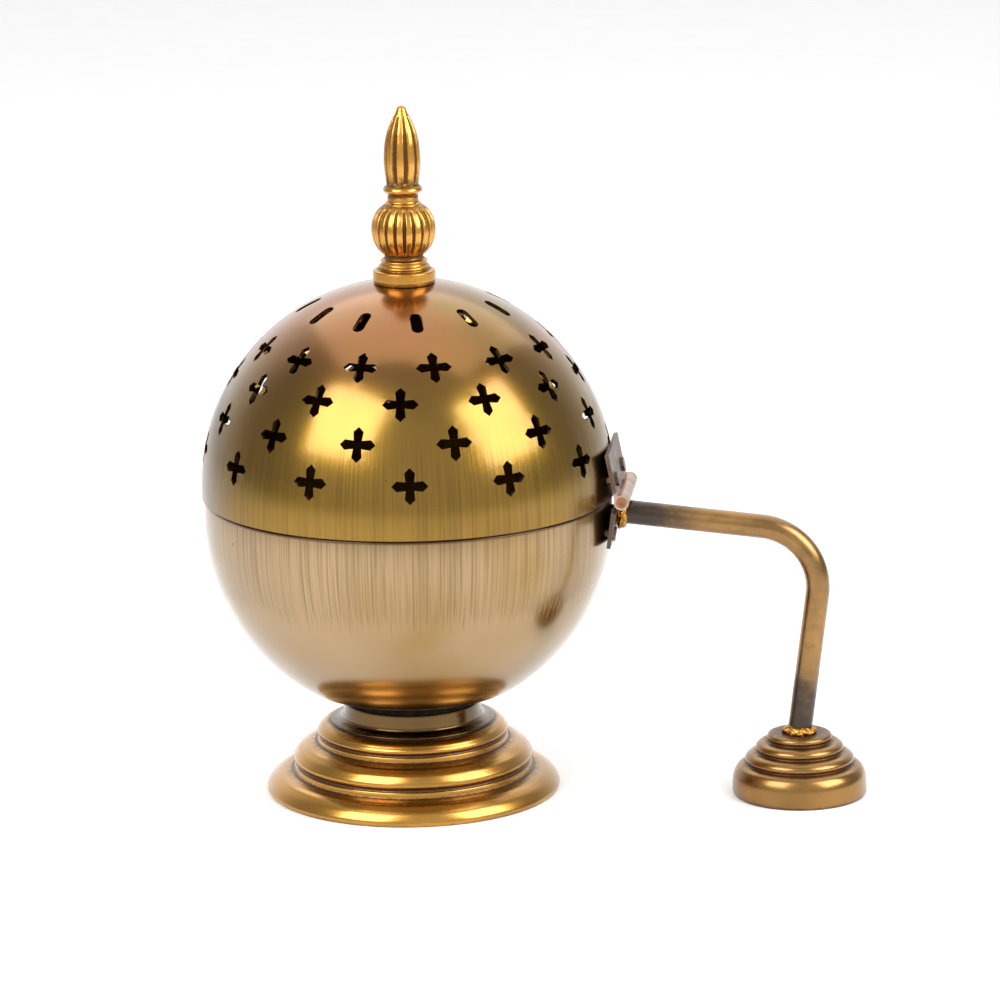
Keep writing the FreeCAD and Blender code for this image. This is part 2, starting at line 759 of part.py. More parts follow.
# ---------------------------------------------------------------- foot, neck and floor screw
def stepped_shell(name, tiers, wall, cove, bore):
    """Spun shell of rounded steps; tiers holds (tread, riser, rounding) from the floor up.

    The last tier's tread is its own radius. A rounding is kept within its tread and its riser.
    """
    radii = [tiers[-1][0]]
    for tread, _, _ in reversed(tiers[:-1]):
        radii.insert(0, radii[0] + tread)
    outside, inside = [line(radii[0], 0)], []
    top = Size.of(0)
    for index, (tread, riser, rounding) in enumerate(tiers):
        radius, top = radii[index], top + riser
        rounding = smaller(rounding, smaller(tread, riser) - cove - LEAST_LAND)
        inner_round = larger(rounding - wall, Size.of(LEAST_LAND))
        outside.append(line(radius, top - rounding))
        outside.append(arc(radius - rounding, top, rounding, 1))
        inside.append((radius - wall, top - wall - inner_round))
        inside.append((radius - wall - inner_round, top - wall, inner_round))
        if index + 1 < len(tiers):
            outside.append(line(radii[index + 1] + cove, top))
            outside.append(arc(radii[index + 1], top + cove, cove, -1))
            inside.append((radii[index + 1] - wall, top - wall))
    steps = outside + [line(bore, top), line(bore, top - wall)]
    bend = None
    for point in reversed(inside):
        if bend is None:
            steps.append(line(point[0], point[1]))
        else:
            steps.append(arc(point[0], point[1], bend, -1))
        bend = point[2] if len(point) == 3 else None
    steps.append(line(radii[0] - wall, 0))
    return turned(name, steps)


def make_foot():
    tiers = [
        (D["foot_tread_low"], D["foot_rise_low"], D["foot_round_low"]),
        (D["foot_tread_mid"], D["foot_rise_mid"], D["foot_round_mid"]),
        (D["foot_radius_high"], D["foot_rise_high"], D["foot_round_high"]),
    ]
    keep(stepped_shell("foot_base", tiers, D["foot_wall"], D["foot_cove"], SCREW_BORE), "foot_base")


def make_neck():
    """Turned neck with a flared lower edge, standing on the foot's deck."""
    low = FOOT_DECK
    edge = low + D["neck_flare_edge"]
    width = NECK_FLARE - NECK_RADIUS
    rise = D["neck_flare_rise"]
    sweep = (width * width + rise * rise) / (2 * width)
    keep(turned("foot_neck", [
        line(NECK_BORE, low),
        line(NECK_FLARE, low),
        line(NECK_FLARE, edge),
        arc(NECK_RADIUS, edge + rise, sweep, -1),
        line(NECK_RADIUS, NECK_TOP),
        line(NECK_BORE, NECK_TOP),
    ]), "foot_neck")


def make_spacer():
    """Dark heat spacer between the neck and the bowl's flat floor."""
    radius, rounding, top = NECK_RADIUS - D["spacer_setback"], D["spacer_round"], BOWL_FLOOR
    keep(turned("neck_spacer", [
        line(NECK_BORE, NECK_TOP),
        line(radius - rounding, NECK_TOP),
        arc(radius, NECK_TOP + rounding, rounding, 1),
        line(radius, top - rounding),
        arc(radius - rounding, top, rounding, 1),
        line(NECK_BORE, top),
    ]), "neck_spacer")


def make_floor_screw():
    """Slotted screw down through the bowl floor, with washers and a nut under the foot's deck."""
    thick = D["screw_washer_thickness"]
    head_low = BOWL_FLOOR_TOP + thick
    deck_low = FOOT_DECK - D["foot_wall"]
    nut_low = deck_low - thick - D["nut_height"]
    shank_low = nut_low - D["screw_tail"]
    shank = cylinder("foot_screw_shank", D["screw_radius"], head_low - shank_low, (0, 0, shank_low))
    head = cylinder("foot_screw_head", SCREW_HEAD, D["screw_head_height"], (0, 0, head_low))
    slot = block("foot_screw_slot", 4 * SCREW_HEAD, D["screw_slot_width"], D["screw_head_height"],
                 (-2 * SCREW_HEAD, -D["screw_slot_width"] / 2,
                  head_low + D["screw_head_height"] - D["screw_slot_depth"]))
    keep(cut("foot_screw", fused("foot_screw_blank", [shank, head]), slot), "foot_screw")
    keep(washer("foot_screw_washer", SCREW_BORE, SCREW_WASHER, BOWL_FLOOR_TOP, head_low),
         "foot_screw_washer")
    keep(washer("foot_washer", SCREW_BORE, SCREW_WASHER, deck_low - thick, deck_low),
         "foot_washer")
    bore = D["screw_radius"] + D["screw_thread_clearance"]
    across_flats = 2 * (D["screw_radius"] + D["nut_wall"])
    keep(hexagon_nut("foot_nut", across_flats, bore, nut_low, D["nut_height"]), "foot_nut")


# ---------------------------------------------------------------- handle
# distance along the rod's line of the tenon washer's inner face; negative is inside the bowl
WASHER_DISTANCE = -(
    D["bowl_wall"] + D["lip_thickness"] + D["tenon_washer_setback"] + D["tenon_washer_thickness"]
)
TENON_HEAD = D["tenon_radius"] + D["tenon_head_overlap"]


def leaf_face_block(name):
    """Everything inboard of the bowl leaf's outer face, near the rod."""
    return bowl_leaf_block(name, CUT_REACH, D["hinge_width"], D["bowl_leaf_drop"] + CUT_MARGIN, -CUT_MARGIN,
                           CUT_REACH - D["leaf_thickness"])


def make_handle_rod():
    """Bent rod: a tenon through the bowl wall, a sloping run, one bend and a leaning leg."""
    radius = D["rod_radius"]
    run_length = (BEND_START[0] - D["bowl_radius"]) / cosine(ROD_SLOPE)
    run = cylinder("rod_run", radius, run_length, along_rod(0), (0, 1, 0), ROD_HEADING)
    squared = cut("rod_run_squared", run, leaf_face_block("rod_face_cut"))
    bend = DOC.addObject("Part::Torus", "rod_bend")
    bind(bend, Radius1=D["rod_bend_radius"], Radius2=radius, Angle3=ROD_TURN)
    centre = (
        BEND_START[0] - D["rod_bend_radius"] * sine(ROD_SLOPE),
        0,
        BEND_START[1] - D["rod_bend_radius"] * cosine(ROD_SLOPE),
    )
    place_euler(bend, centre, 0, ROD_SLOPE - RIGHT_ANGLE, -RIGHT_ANGLE, "Placement")
    leg_end = HANDLE_DECK - D["rod_foot_engagement"]
    leg_length = (BEND_END[1] - leg_end) / cosine(LEG_LEAN)
    leg = cylinder("rod_leg", radius, leg_length, (BEND_END[0], 0, BEND_END[1]), (0, 1, 0),
                   2 * RIGHT_ANGLE + LEG_LEAN)
    head_start = WASHER_DISTANCE - D["tenon_head_height"]
    tenon = cylinder("rod_tenon", D["tenon_radius"], 2 * CUT_MARGIN - head_start, along_rod(head_start),
                     (0, 1, 0), ROD_HEADING)
    head = cylinder("rod_tenon_head", TENON_HEAD, D["tenon_head_height"], along_rod(head_start),
                    (0, 1, 0), ROD_HEADING)
    keep(fused("handle_rod", [squared, bend, leg, tenon, head]), "handle_rod")


def make_tenon_washer():
    """Washer inside the bowl under the tenon's peened head."""
    blank = cylinder("tenon_washer_blank", TENON_HEAD + D["tenon_washer_overlap"],
                     D["tenon_washer_thickness"], along_rod(WASHER_DISTANCE), (0, 1, 0), ROD_HEADING)
    keep(cut("handle_tenon_washer", blank, tenon_hole("washer_tenon_hole")), "handle_tenon_washer")


def make_handle_braze():
    """Brazed fillet round the rod where it meets the bowl leaf, clear of the turning knuckles."""
    cone = DOC.addObject("Part::Cone", "handle_braze_cone")
    low_radius, top_radius = D["rod_radius"] + D["braze_spread"], D["rod_radius"] + D["braze_clearance"] * 2
    bind(cone, Radius1=low_radius, Radius2=top_radius, Height=D["braze_length"] + CUT_MARGIN)
    place(cone, along_rod(0), (0, 1, 0), ROD_HEADING)
    core = cylinder("handle_braze_core", D["rod_radius"] + D["braze_clearance"],
                    D["braze_length"] + CUT_REACH, along_rod(-CUT_MARGIN), (0, 1, 0), ROD_HEADING)
    sweep = knuckle("handle_braze_relief", D["knuckle_radius"] + D["knuckle_swing_gap"], -D["hinge_width"],
                    2 * D["hinge_width"])
    tools = fused("handle_braze_cuts", [core, sweep, leaf_face_block("handle_braze_face_cut")])
    keep(cut("handle_braze", cone, tools), "handle_braze")


def make_handle_foot():
    levels = (("low", "tread_low"), ("mid", "tread_mid"), ("high", "tread_high"), ("top", "radius_top"))
    tiers = [
        (D["small_foot_" + width], D["small_foot_rise_" + level], D["small_foot_round_" + level])
        for level, width in levels
    ]
    bore = D["rod_radius"] / cosine(LEG_LEAN) + D["small_foot_bore_clearance"]
    foot = stepped_shell("handle_foot", tiers, D["small_foot_wall"], D["small_foot_cove"], bore)
    place(foot, (HANDLE_FOOT, 0, 0))
    keep(foot, "handle_foot")


def make_foot_braze():
    """Brazed fillet round the leaning rod on top of its foot."""
    deck = HANDLE_DECK
    cone = DOC.addObject("Part::Cone", "foot_braze_cone")
    low_radius = D["rod_radius"] + D["foot_braze_spread"]
    top_radius = D["rod_radius"] + D["foot_braze_top_spread"]
    bind(cone, Radius1=low_radius, Radius2=top_radius, Height=D["foot_braze_height"])
    place(cone, (HANDLE_FOOT, 0, deck), (0, 1, 0), LEG_LEAN / 2)
    floor = block("foot_braze_floor", 4 * low_radius, 4 * low_radius, 2 * CUT_MARGIN,
                  (HANDLE_FOOT - 2 * low_radius, -2 * low_radius, deck - 2 * CUT_MARGIN))
    core = cylinder("foot_braze_core", D["rod_radius"] + D["braze_clearance"], BEND_END[1] / cosine(LEG_LEAN),
                    (BEND_END[0], 0, BEND_END[1]), (0, 1, 0), 2 * RIGHT_ANGLE + LEG_LEAN)
    keep(cut("handle_foot_braze", cone, fused("foot_braze_cuts", [floor, core])), "handle_foot_braze")


# ---------------------------------------------------------------- finial
FINIAL_SEAT = LID_CENTRE + LID_RADIUS
COLLAR_TOP = FINIAL_SEAT + D["finial_flare_height"]
KNOP_TOP = COLLAR_TOP + D["knop_height"]
BUD_LOW = KNOP_TOP + D["bud_neck_height"] + D["bud_ring_height"]
FINIAL_TIP = BUD_LOW + D["bud_height"]


def make_finial_collar():
    """Moulded collar that sits on the dome: a thick disc, then a waist that flares to the knop."""
    base, radius = D["finial_base_radius"], LID_RADIUS
    disc_top = FINIAL_SEAT + D["finial_base_height"]
    rounding = D["finial_base_round"]
    keep(turned("finial_collar", [
        arc(base, LID_CENTRE + on_ball(radius, base), radius, -1),
        line(base, disc_top - rounding),
        arc(base - rounding, disc_top, rounding, 1),
        line(D["finial_flare_radius"], disc_top),
        arc(D["knop_end_radius"], COLLAR_TOP, D["finial_flare_sweep"], -1),
        line(STUD_BORE, COLLAR_TOP),
        line(STUD_BORE, LID_CENTRE + on_ball(radius, STUD_BORE)),
    ]), "finial_collar")


def bulge_radius(chord, sagitta):
    """Radius of the arc with this chord and sagitta."""
    return (chord * chord / 4 + sagitta * sagitta) / (2 * sagitta)


def fluted(name, blank, count, ring_radius, ring_reach, height, flute, below, above):
    """Cut evenly spaced upright grooves: part rings of round section, from below to above height."""
    start = arc_angle(below, ring_radius)
    tools = []
    for index in range(int(count.value)):
        ring = DOC.addObject("Part::Torus", "%s_groove_%d" % (name, index))
        bind(ring, Radius1=ring_radius, Radius2=flute, Angle3=start + arc_angle(above, ring_radius))
        azimuth = Size.of(FULL_TURN * index) / count
        spot = (ring_reach * cosine(azimuth), ring_reach * sine(azimuth), height)
        place_euler(ring, spot, azimuth, start, RIGHT_ANGLE, "Placement")
        tools.append(ring)
    keep(cut(name, blank, fused(name + "_grooves", tools)), name)


def make_finial_knop():
    """Fluted ball on the finial's stud."""
    end, widest = D["knop_end_radius"], D["knop_radius"]
    arch = bulge_radius(D["knop_height"], widest - end)
    blank = turned("finial_knop_blank", [
        line(STUD_BORE, COLLAR_TOP),
        line(end, COLLAR_TOP),
        arc(end, KNOP_TOP, arch, 1),
        line(STUD_BORE, KNOP_TOP),
    ])
    flute = D["knop_flute_radius"]
    fluted("finial_knop", blank, D["knop_flute_count"], arch, widest - arch + flute - D["knop_flute_depth"],
           (COLLAR_TOP + KNOP_TOP) / 2, flute, D["knop_height"] / 2, D["knop_height"] / 2)


def make_finial_bud():
    """Fluted bud that screws on to the top of the stud, with a plain ring at its foot."""
    ring, widest, tip = D["bud_ring_radius"], D["bud_radius"], D["bud_tip_radius"]
    base = D["bud_base_radius"]
    wide = BUD_LOW + D["bud_widest_height"]
    lower = bulge_radius(2 * D["bud_widest_height"], widest - base)
    upper = bulge_radius(2 * (FINIAL_TIP - wide - tip), widest - tip)
    bore_top = KNOP_TOP + D["stud_tip_depth"]
    rounding = D["bud_ring_height"] / 2
    ring_low = BUD_LOW - D["bud_ring_height"]
    blank = turned("finial_bud_blank", [
        line(STUD_BORE, KNOP_TOP),
        line(D["bud_neck_radius"], KNOP_TOP),
        line(D["bud_neck_radius"], ring_low),
        arc(ring, ring_low + rounding, rounding, 1),
        arc(ring - rounding, BUD_LOW, rounding, 1),
        line(base, BUD_LOW),
        arc(widest, wide, lower, 1),
        arc(tip, FINIAL_TIP - tip, upper, 1),
        arc(0, FINIAL_TIP, tip, 1),
        line(0, bore_top),
        line(STUD_BORE, bore_top),
    ])
    flute = D["bud_flute_radius"]
    fluted("finial_bud", blank, D["bud_flute_count"], upper, widest - upper + flute - D["bud_flute_depth"],
           wide, flute, D["bud_widest_height"] - flute, FINIAL_TIP - wide - D["bud_cap_height"])


def make_finial_fixings():
    """Stud up through the dome into the bud, with a washer and a nut inside the lid."""
    washer_radius = D["stud_radius"] + D["finial_washer_overlap"]
    inside = LID_CENTRE + on_ball(LID_INNER, washer_radius)
    washer_low = inside - D["finial_washer_thickness"]
    nut_low = washer_low - D["finial_nut_height"]
    stud_low = nut_low - D["finial_stud_tail"]
    stud_top = KNOP_TOP + D["stud_tip_depth"] - D["stud_clearance"]
    keep(cylinder("finial_stud", D["stud_radius"], stud_top - stud_low, (0, 0, stud_low)), "finial_stud")
    keep(washer("finial_washer", STUD_BORE, washer_radius, washer_low, inside), "finial_washer")
    bore = D["stud_radius"] + D["screw_thread_clearance"]
    across_flats = 2 * (D["stud_radius"] + D["finial_nut_wall"])
    keep(hexagon_nut("finial_nut", across_flats, bore, nut_low, D["finial_nut_height"]), "finial_nut")


# ---------------------------------------------------------------- ember cup
def make_ember_cup():
    """Loose spun cup for charcoal; its flange rests a hair above the curve of the bowl."""
    flange = BOWL_INNER - D["cup_side_room"]
    mouth = flange - D["cup_flange_width"]
    floor_radius = mouth - D["cup_taper"]
    wall, floor = D["cup_wall"], SCREW_TOP + D["cup_floor_gap"]
    seat = BOWL_CENTRE - on_ball(BOWL_INNER, flange) + D["cup_seat_gap"]
    keep(turned("ember_cup", [
        line(0, floor),
        line(floor_radius, floor),
        line(mouth, seat),
        line(flange, seat),
        line(flange, seat + wall),
        line(mouth - wall, seat + wall),
        line(floor_radius - wall / 2, floor + wall),
        line(0, floor + wall),
    ]), "ember_cup")


# ---------------------------------------------------------------- build, check and write
def build_all():
    make_bowl()
    make_lip_ring()
    make_lid_dome()
    make_lid_leaf()
    make_bowl_leaf()
    make_hinge_pin()
    make_rivets("lid_leaf_rivets", lid_rivet_seat())
    make_rivets("bowl_leaf_rivets", bowl_rivet_seat())
    make_foot()
    make_neck()
    make_spacer()
    make_floor_screw()
    make_handle_rod()
    make_tenon_washer()
    make_handle_braze()
    make_handle_foot()
    make_foot_braze()
    make_finial_collar()
    make_finial_knop()
    make_finial_bud()
    make_finial_fixings()
    make_ember_cup()


def check_and_write():
    DOC.recompute()
    failed = [obj.Name for obj in DOC.Objects if {"Invalid", "Error"} & set(obj.State)]
    if failed:
        raise RuntimeError("failed objects: " + ", ".join(failed))
    for obj in SUB_PARTS:
        if obj.Shape.isNull() or not obj.Shape.isValid() or not obj.Shape.Solids:
            raise RuntimeError("bad shape: " + obj.Label)
    os.makedirs("parts", exist_ok=True)
    for obj in SUB_PARTS:
        obj.Shape.exportStep(os.path.join("parts", obj.Label + ".step"))
        box = obj.Shape.BoundBox
        print("%-22s solids %d volume %9.1f  z %.2f to %.2f" % (
            obj.Label, len(obj.Shape.Solids), obj.Shape.Volume, box.ZMin, box.ZMax))


build_all()
check_and_write()
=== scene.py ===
"""Looks of a footed brass hand censer, built round its fixed CAD frame.

Laid out as an add-on: property groups hold the sizes and colours, each operator makes one group of
pieces, and main() runs them in order. Everything is in metres, +Z up, handle towards +X.
"""

import json
import math

import bmesh
import bpy
from mathutils import Matrix, Vector, noise
from mathutils.geometry import interpolate_bezier


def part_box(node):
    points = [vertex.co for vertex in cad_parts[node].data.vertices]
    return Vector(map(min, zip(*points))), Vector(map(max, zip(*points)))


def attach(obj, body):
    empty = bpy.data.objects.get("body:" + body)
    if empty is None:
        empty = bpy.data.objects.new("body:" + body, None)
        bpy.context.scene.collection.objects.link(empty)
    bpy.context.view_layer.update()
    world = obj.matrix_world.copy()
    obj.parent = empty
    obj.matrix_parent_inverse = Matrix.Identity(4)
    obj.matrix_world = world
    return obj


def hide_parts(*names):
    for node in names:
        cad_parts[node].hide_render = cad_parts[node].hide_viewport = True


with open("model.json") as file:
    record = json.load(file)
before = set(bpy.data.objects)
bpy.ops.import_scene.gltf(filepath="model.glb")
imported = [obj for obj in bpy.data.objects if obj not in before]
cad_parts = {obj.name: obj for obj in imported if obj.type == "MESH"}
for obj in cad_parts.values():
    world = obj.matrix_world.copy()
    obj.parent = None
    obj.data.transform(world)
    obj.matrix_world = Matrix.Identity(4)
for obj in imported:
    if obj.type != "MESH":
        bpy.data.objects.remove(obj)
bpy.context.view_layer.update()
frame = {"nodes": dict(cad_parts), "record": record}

bl_info = {
    "name": "Hand censer looks",
    "version": (1, 0, 0),
    "blender": (4, 5, 0),
    "location": "View3D > Sidebar > Censer",
    "description": "Spun, turned and cast brass pieces and finishes of a footed hand censer",
    "category": "Object",
}

MM = 0.001
FULL_TURN = 2 * math.pi
GROOVE = "groove"
FOOT_DRAWN_RADIUS = 37.3 * MM
HANDLE_FOOT_DRAWN_RADIUS = 17.0 * MM
SMALL_FOOT_WALL = 0.9 * MM
SCREW_BORE = 3.2 * MM
STUD_BORE = 2.1 * MM
NECK_BORE = 8.0 * MM
SENSOR_WIDTH = 36.0
TOP_SOFTBOX_SIZE = 2.4
TOP_SOFTBOX_PLACE = Vector((0.0, 0.8, 1.7))
SOFTBOX_DIRECTIONS = {
    "left_softbox": Vector((-0.454, -0.603, 0.656)),
    "right_softbox": Vector((0.781, -0.263, 0.566)),
}


# ---------------------------------------------------------------- places read from the frame
def span(node):
    """Half width across Y and the lowest and highest Z of a CAD node."""
    low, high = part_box(node)
    return (high[1] - low[1]) / 2, low[2], high[2]


BOWL_RADIUS, BOWL_FLOOR, BOWL_RIM = span("bowl")
LID_RADIUS, LID_RIM, _ = span("lid_dome")
FOOT_RADIUS, _, FOOT_DECK = span("foot_base")
NECK_FLARE, _, NECK_TOP = span("foot_neck")
HANDLE_FOOT_RADIUS, _, HANDLE_DECK = span("handle_foot")
HANDLE_FOOT_X = sum(corner[0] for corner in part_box("handle_foot")) / 2
FINIAL_TIP = span("finial_bud")[2]
HINGE = Vector(frame["record"]["behaviour"]["joints"][0]["pos_m"])


# ---------------------------------------------------------------- sizes and colours a user may change
def length(name, description, default):
    return bpy.props.FloatProperty(
        name=name, description=description, default=default, min=0.0,
        subtype="DISTANCE", unit="LENGTH", precision=5,
    )


def factor(name, description, default):
    return bpy.props.FloatProperty(
        name=name, description=description, default=default, min=0.0, max=1.0, subtype="FACTOR"
    )


def strength(name, description, default):
    return bpy.props.FloatProperty(name=name, description=description, default=default, min=0.0)


def whole(name, description, default):
    return bpy.props.IntProperty(name=name, description=description, default=default, min=3)


def colour(name, description, default):
    return bpy.props.FloatVectorProperty(
        name=name, description=description, default=default, size=3, min=0.0, max=1.0, subtype="COLOR"
    )


class CenserShellSizes(bpy.types.PropertyGroup):
    """Sizes of the spun bowl that the frame doesn't give."""

    wall: length("Wall", "Thickness of the spun sheet", 1.1 * MM)
    floor_round: length("Floor rounding", "Radius between the bowl's flat floor and its side", 4.0 * MM)
    skirt: length("Skirt", "Height of the straight rim of the bowl", 5.25 * MM)
    rim_round: length("Rim rounding", "Radius worn on the rim's edges", 0.22 * MM)
    spin_steps: whole("Spin steps", "Faces round a turned piece", 192)


class CenserFinialSizes(bpy.types.PropertyGroup):
    """Sizes of the fluted finial that the frame doesn't give."""

    knop_lobes: whole("Knop lobes", "Rounded lobes round the ball", 20)
    knop_depth: factor("Knop groove depth", "Depth of the grooves as a share of the radius", 0.085)
    bud_ribs: whole("Bud ribs", "Flat ribs round the bud", 9)
    bud_depth: factor("Bud groove depth", "Depth of the grooves as a share of the radius", 0.13)
    faces_per_lobe: whole("Faces per lobe", "Faces across one lobe", 14)


class CenserColours(bpy.types.PropertyGroup):
    """Colours of the brass finishes."""

    gold: colour("Gold", "Clean lacquered brass", (0.265, 0.150, 0.018))
    olive: colour("Olive", "Antiqued brass in the shade of the lacquer", (0.160, 0.088, 0.013))
    tan: colour("Tan", "Paler brushed brass of the bowl", (0.36, 0.240, 0.120))
    # Russet is partly a reddish stain and partly a painted dark reflection near the top of the lid.
    russet: colour("Russet", "Reddish heat tint near the top of the lid", (0.34, 0.140, 0.050))
    rich: colour("Rich gold", "Polished gold of the feet", (0.50, 0.250, 0.038))
    cast: colour("Cast gold", "Warm cast brass of the finial", (0.60, 0.295, 0.052))
    # Umber colours real spots and stains, and also the dark brown painted into grooves and below the seam as
    # painted shade.
    umber: colour("Umber", "Antiquing left in the grooves", (0.075, 0.028, 0.008))
    oxide: colour("Oxide", "Dark oxide on the handle rod", (0.030, 0.021, 0.016))
    # Sheet colours the knuckles round the hinge pin, paler than the flats.
    sheet: colour("Sheet", "Pale rubbed knuckles of the hinge", (0.46, 0.34, 0.28))
    dull: colour("Dull brass", "Tarnished brass of the handle and its foot", (0.285, 0.150, 0.042))
    # Plate is the hinge flats' dark, a painted dark reflection of the leaves seen edge-on.
    plate: colour("Plate", "Dark flat of the hinge leaves", (0.10, 0.068, 0.052))
    copper: colour("Copper", "Brown of the hinge pin", (0.40, 0.19, 0.10))
    soot: colour("Soot", "Darkened inside of the bowl and lid", (0.36, 0.140, 0.070))
    steel: colour("Steel", "Plated screws, washers and nuts", (0.50, 0.50, 0.50))
    black: colour("Black", "Heat spacer under the bowl", (0.006, 0.005, 0.004))


class CenserStageSizes(bpy.types.PropertyGroup):
    """Camera, floor and lights."""

    camera_place: bpy.props.FloatVectorProperty(
        name="Camera place", description="Where the camera stands", default=(0.16905, -1.30571, 0.39553),
        size=3, subtype="TRANSLATION", unit="LENGTH",
    )
    camera_turn: bpy.props.FloatVectorProperty(
        name="Camera turn", description="The camera's turn about X, Y and Z",
        default=tuple(math.radians(degrees) for degrees in (76.2986, 0.8106, 6.1750)),
        size=3, subtype="EULER", unit="ROTATION",
    )
    lens: bpy.props.FloatProperty(
        name="Lens", description="Focal length in millimetres", default=193.29, min=1.0,
        subtype="DISTANCE_CAMERA",
    )
    floor_size: length("Floor size", "Side of the pale floor", 6.0)
    key_power: strength("Key power", "Watts of each softbox", 7.0)
    key_distance: length("Key distance", "How far each softbox stands from the bowl", 0.9)
    key_size: length("Key size", "Side of each square softbox", 0.58)
    top_power: strength("Top power", "Watts of the softbox overhead", 20.0)
    room_behind: strength("Room behind", "Brightness of the pale room behind the object", 1.2)
    room_beside: strength("Room beside", "Brightness of the room beside and above the object", 0.42)
    room_front: strength("Room in front", "Brightness of the room in front of the object", 0.95)


GROUPS = (CenserShellSizes, CenserFinialSizes, CenserColours, CenserStageSizes)


# ---------------------------------------------------------------- meshes
def finished(name, mesh_data, body, nodes=(), materials=()):
    """Put the bmesh in a named object that rides on its body and stands for its CAD nodes."""
    mesh = bpy.data.meshes.new(name)
    mesh_data.to_mesh(mesh)
    mesh_data.free()
    piece = bpy.data.objects.new(name, mesh)
    bpy.context.scene.collection.objects.link(piece)
    for polygon in mesh.polygons:
        polygon.use_smooth = True
    for material in materials:
        mesh.materials.append(material)
    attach(piece, body)
    if nodes:
        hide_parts(*nodes)
    return piece


def moulding(points, per_curve=10):
    """Turned outline through (radius, height, heading, recess) points, heading in degrees from outwards.

    Between two points runs a Bezier curve that leaves and arrives along their headings. recess is 1
    where dark brown is painted most, as antiquing and painted shade, and 0 where none is; it runs evenly
    between points.
    """
    outline = []
    for (r0, z0, turn0, recess0), (r1, z1, turn1, recess1) in zip(points, points[1:]):
        start, end = Vector((r0, z0)), Vector((r1, z1))
        leave = Vector((math.cos(math.radians(turn0)), math.sin(math.radians(turn0))))
        arrive = Vector((math.cos(math.radians(turn1)), math.sin(math.radians(turn1))))
        across = end - start
        bend = math.radians(abs(turn1 - turn0))
        reach = 4 / 3 * math.tan(bend / 4) / math.sin(bend) if 0.05 < bend < 1.8 else 0.5
        first = start + leave * reach * abs(across.dot(leave))
        second = end - arrive * reach * abs(across.dot(arrive))
        curve = interpolate_bezier(start, first, second, end, per_curve + 1)
        for index, place in enumerate(curve[1:] if outline else curve):
            share = (index + 1) / per_curve if outline else index / per_curve
            share = min(share, 1.0)
            outline.append((place.x, place.y, recess0 + (recess1 - recess0) * share))
    return outline


def spun(outline, steps, centre=Vector((0, 0, 0))):
    """Turn an outline of (radius, height, recess) about a vertical axis through centre."""
    made = bmesh.new()
    recess = made.verts.layers.float.new(GROOVE)
    line = []
    for radius, height, depth in outline:
        vert = made.verts.new((max(radius, 0.0), 0.0, height))
        vert[recess] = depth
        line.append(vert)
    edges = [made.edges.new(pair) for pair in zip(line, line[1:])]
    bmesh.ops.spin(
        made, geom=line + edges, cent=(0, 0, 0), axis=(0, 0, 1), angle=FULL_TURN, steps=steps,
        use_merge=True, use_duplicate=False,
    )
    bmesh.ops.remove_doubles(made, verts=made.verts, dist=1e-7)
    bmesh.ops.recalc_face_normals(made, faces=made.faces)
    bmesh.ops.translate(made, vec=centre, verts=made.verts)
    return made


def arc(centre_z, radius, start, end, count):
    """Points of an arc about (0, centre_z), angles in radians above the horizon."""
    for index in range(count + 1):
        turn = start + (end - start) * index / count
        yield radius * math.cos(turn), centre_z + radius * math.sin(turn)


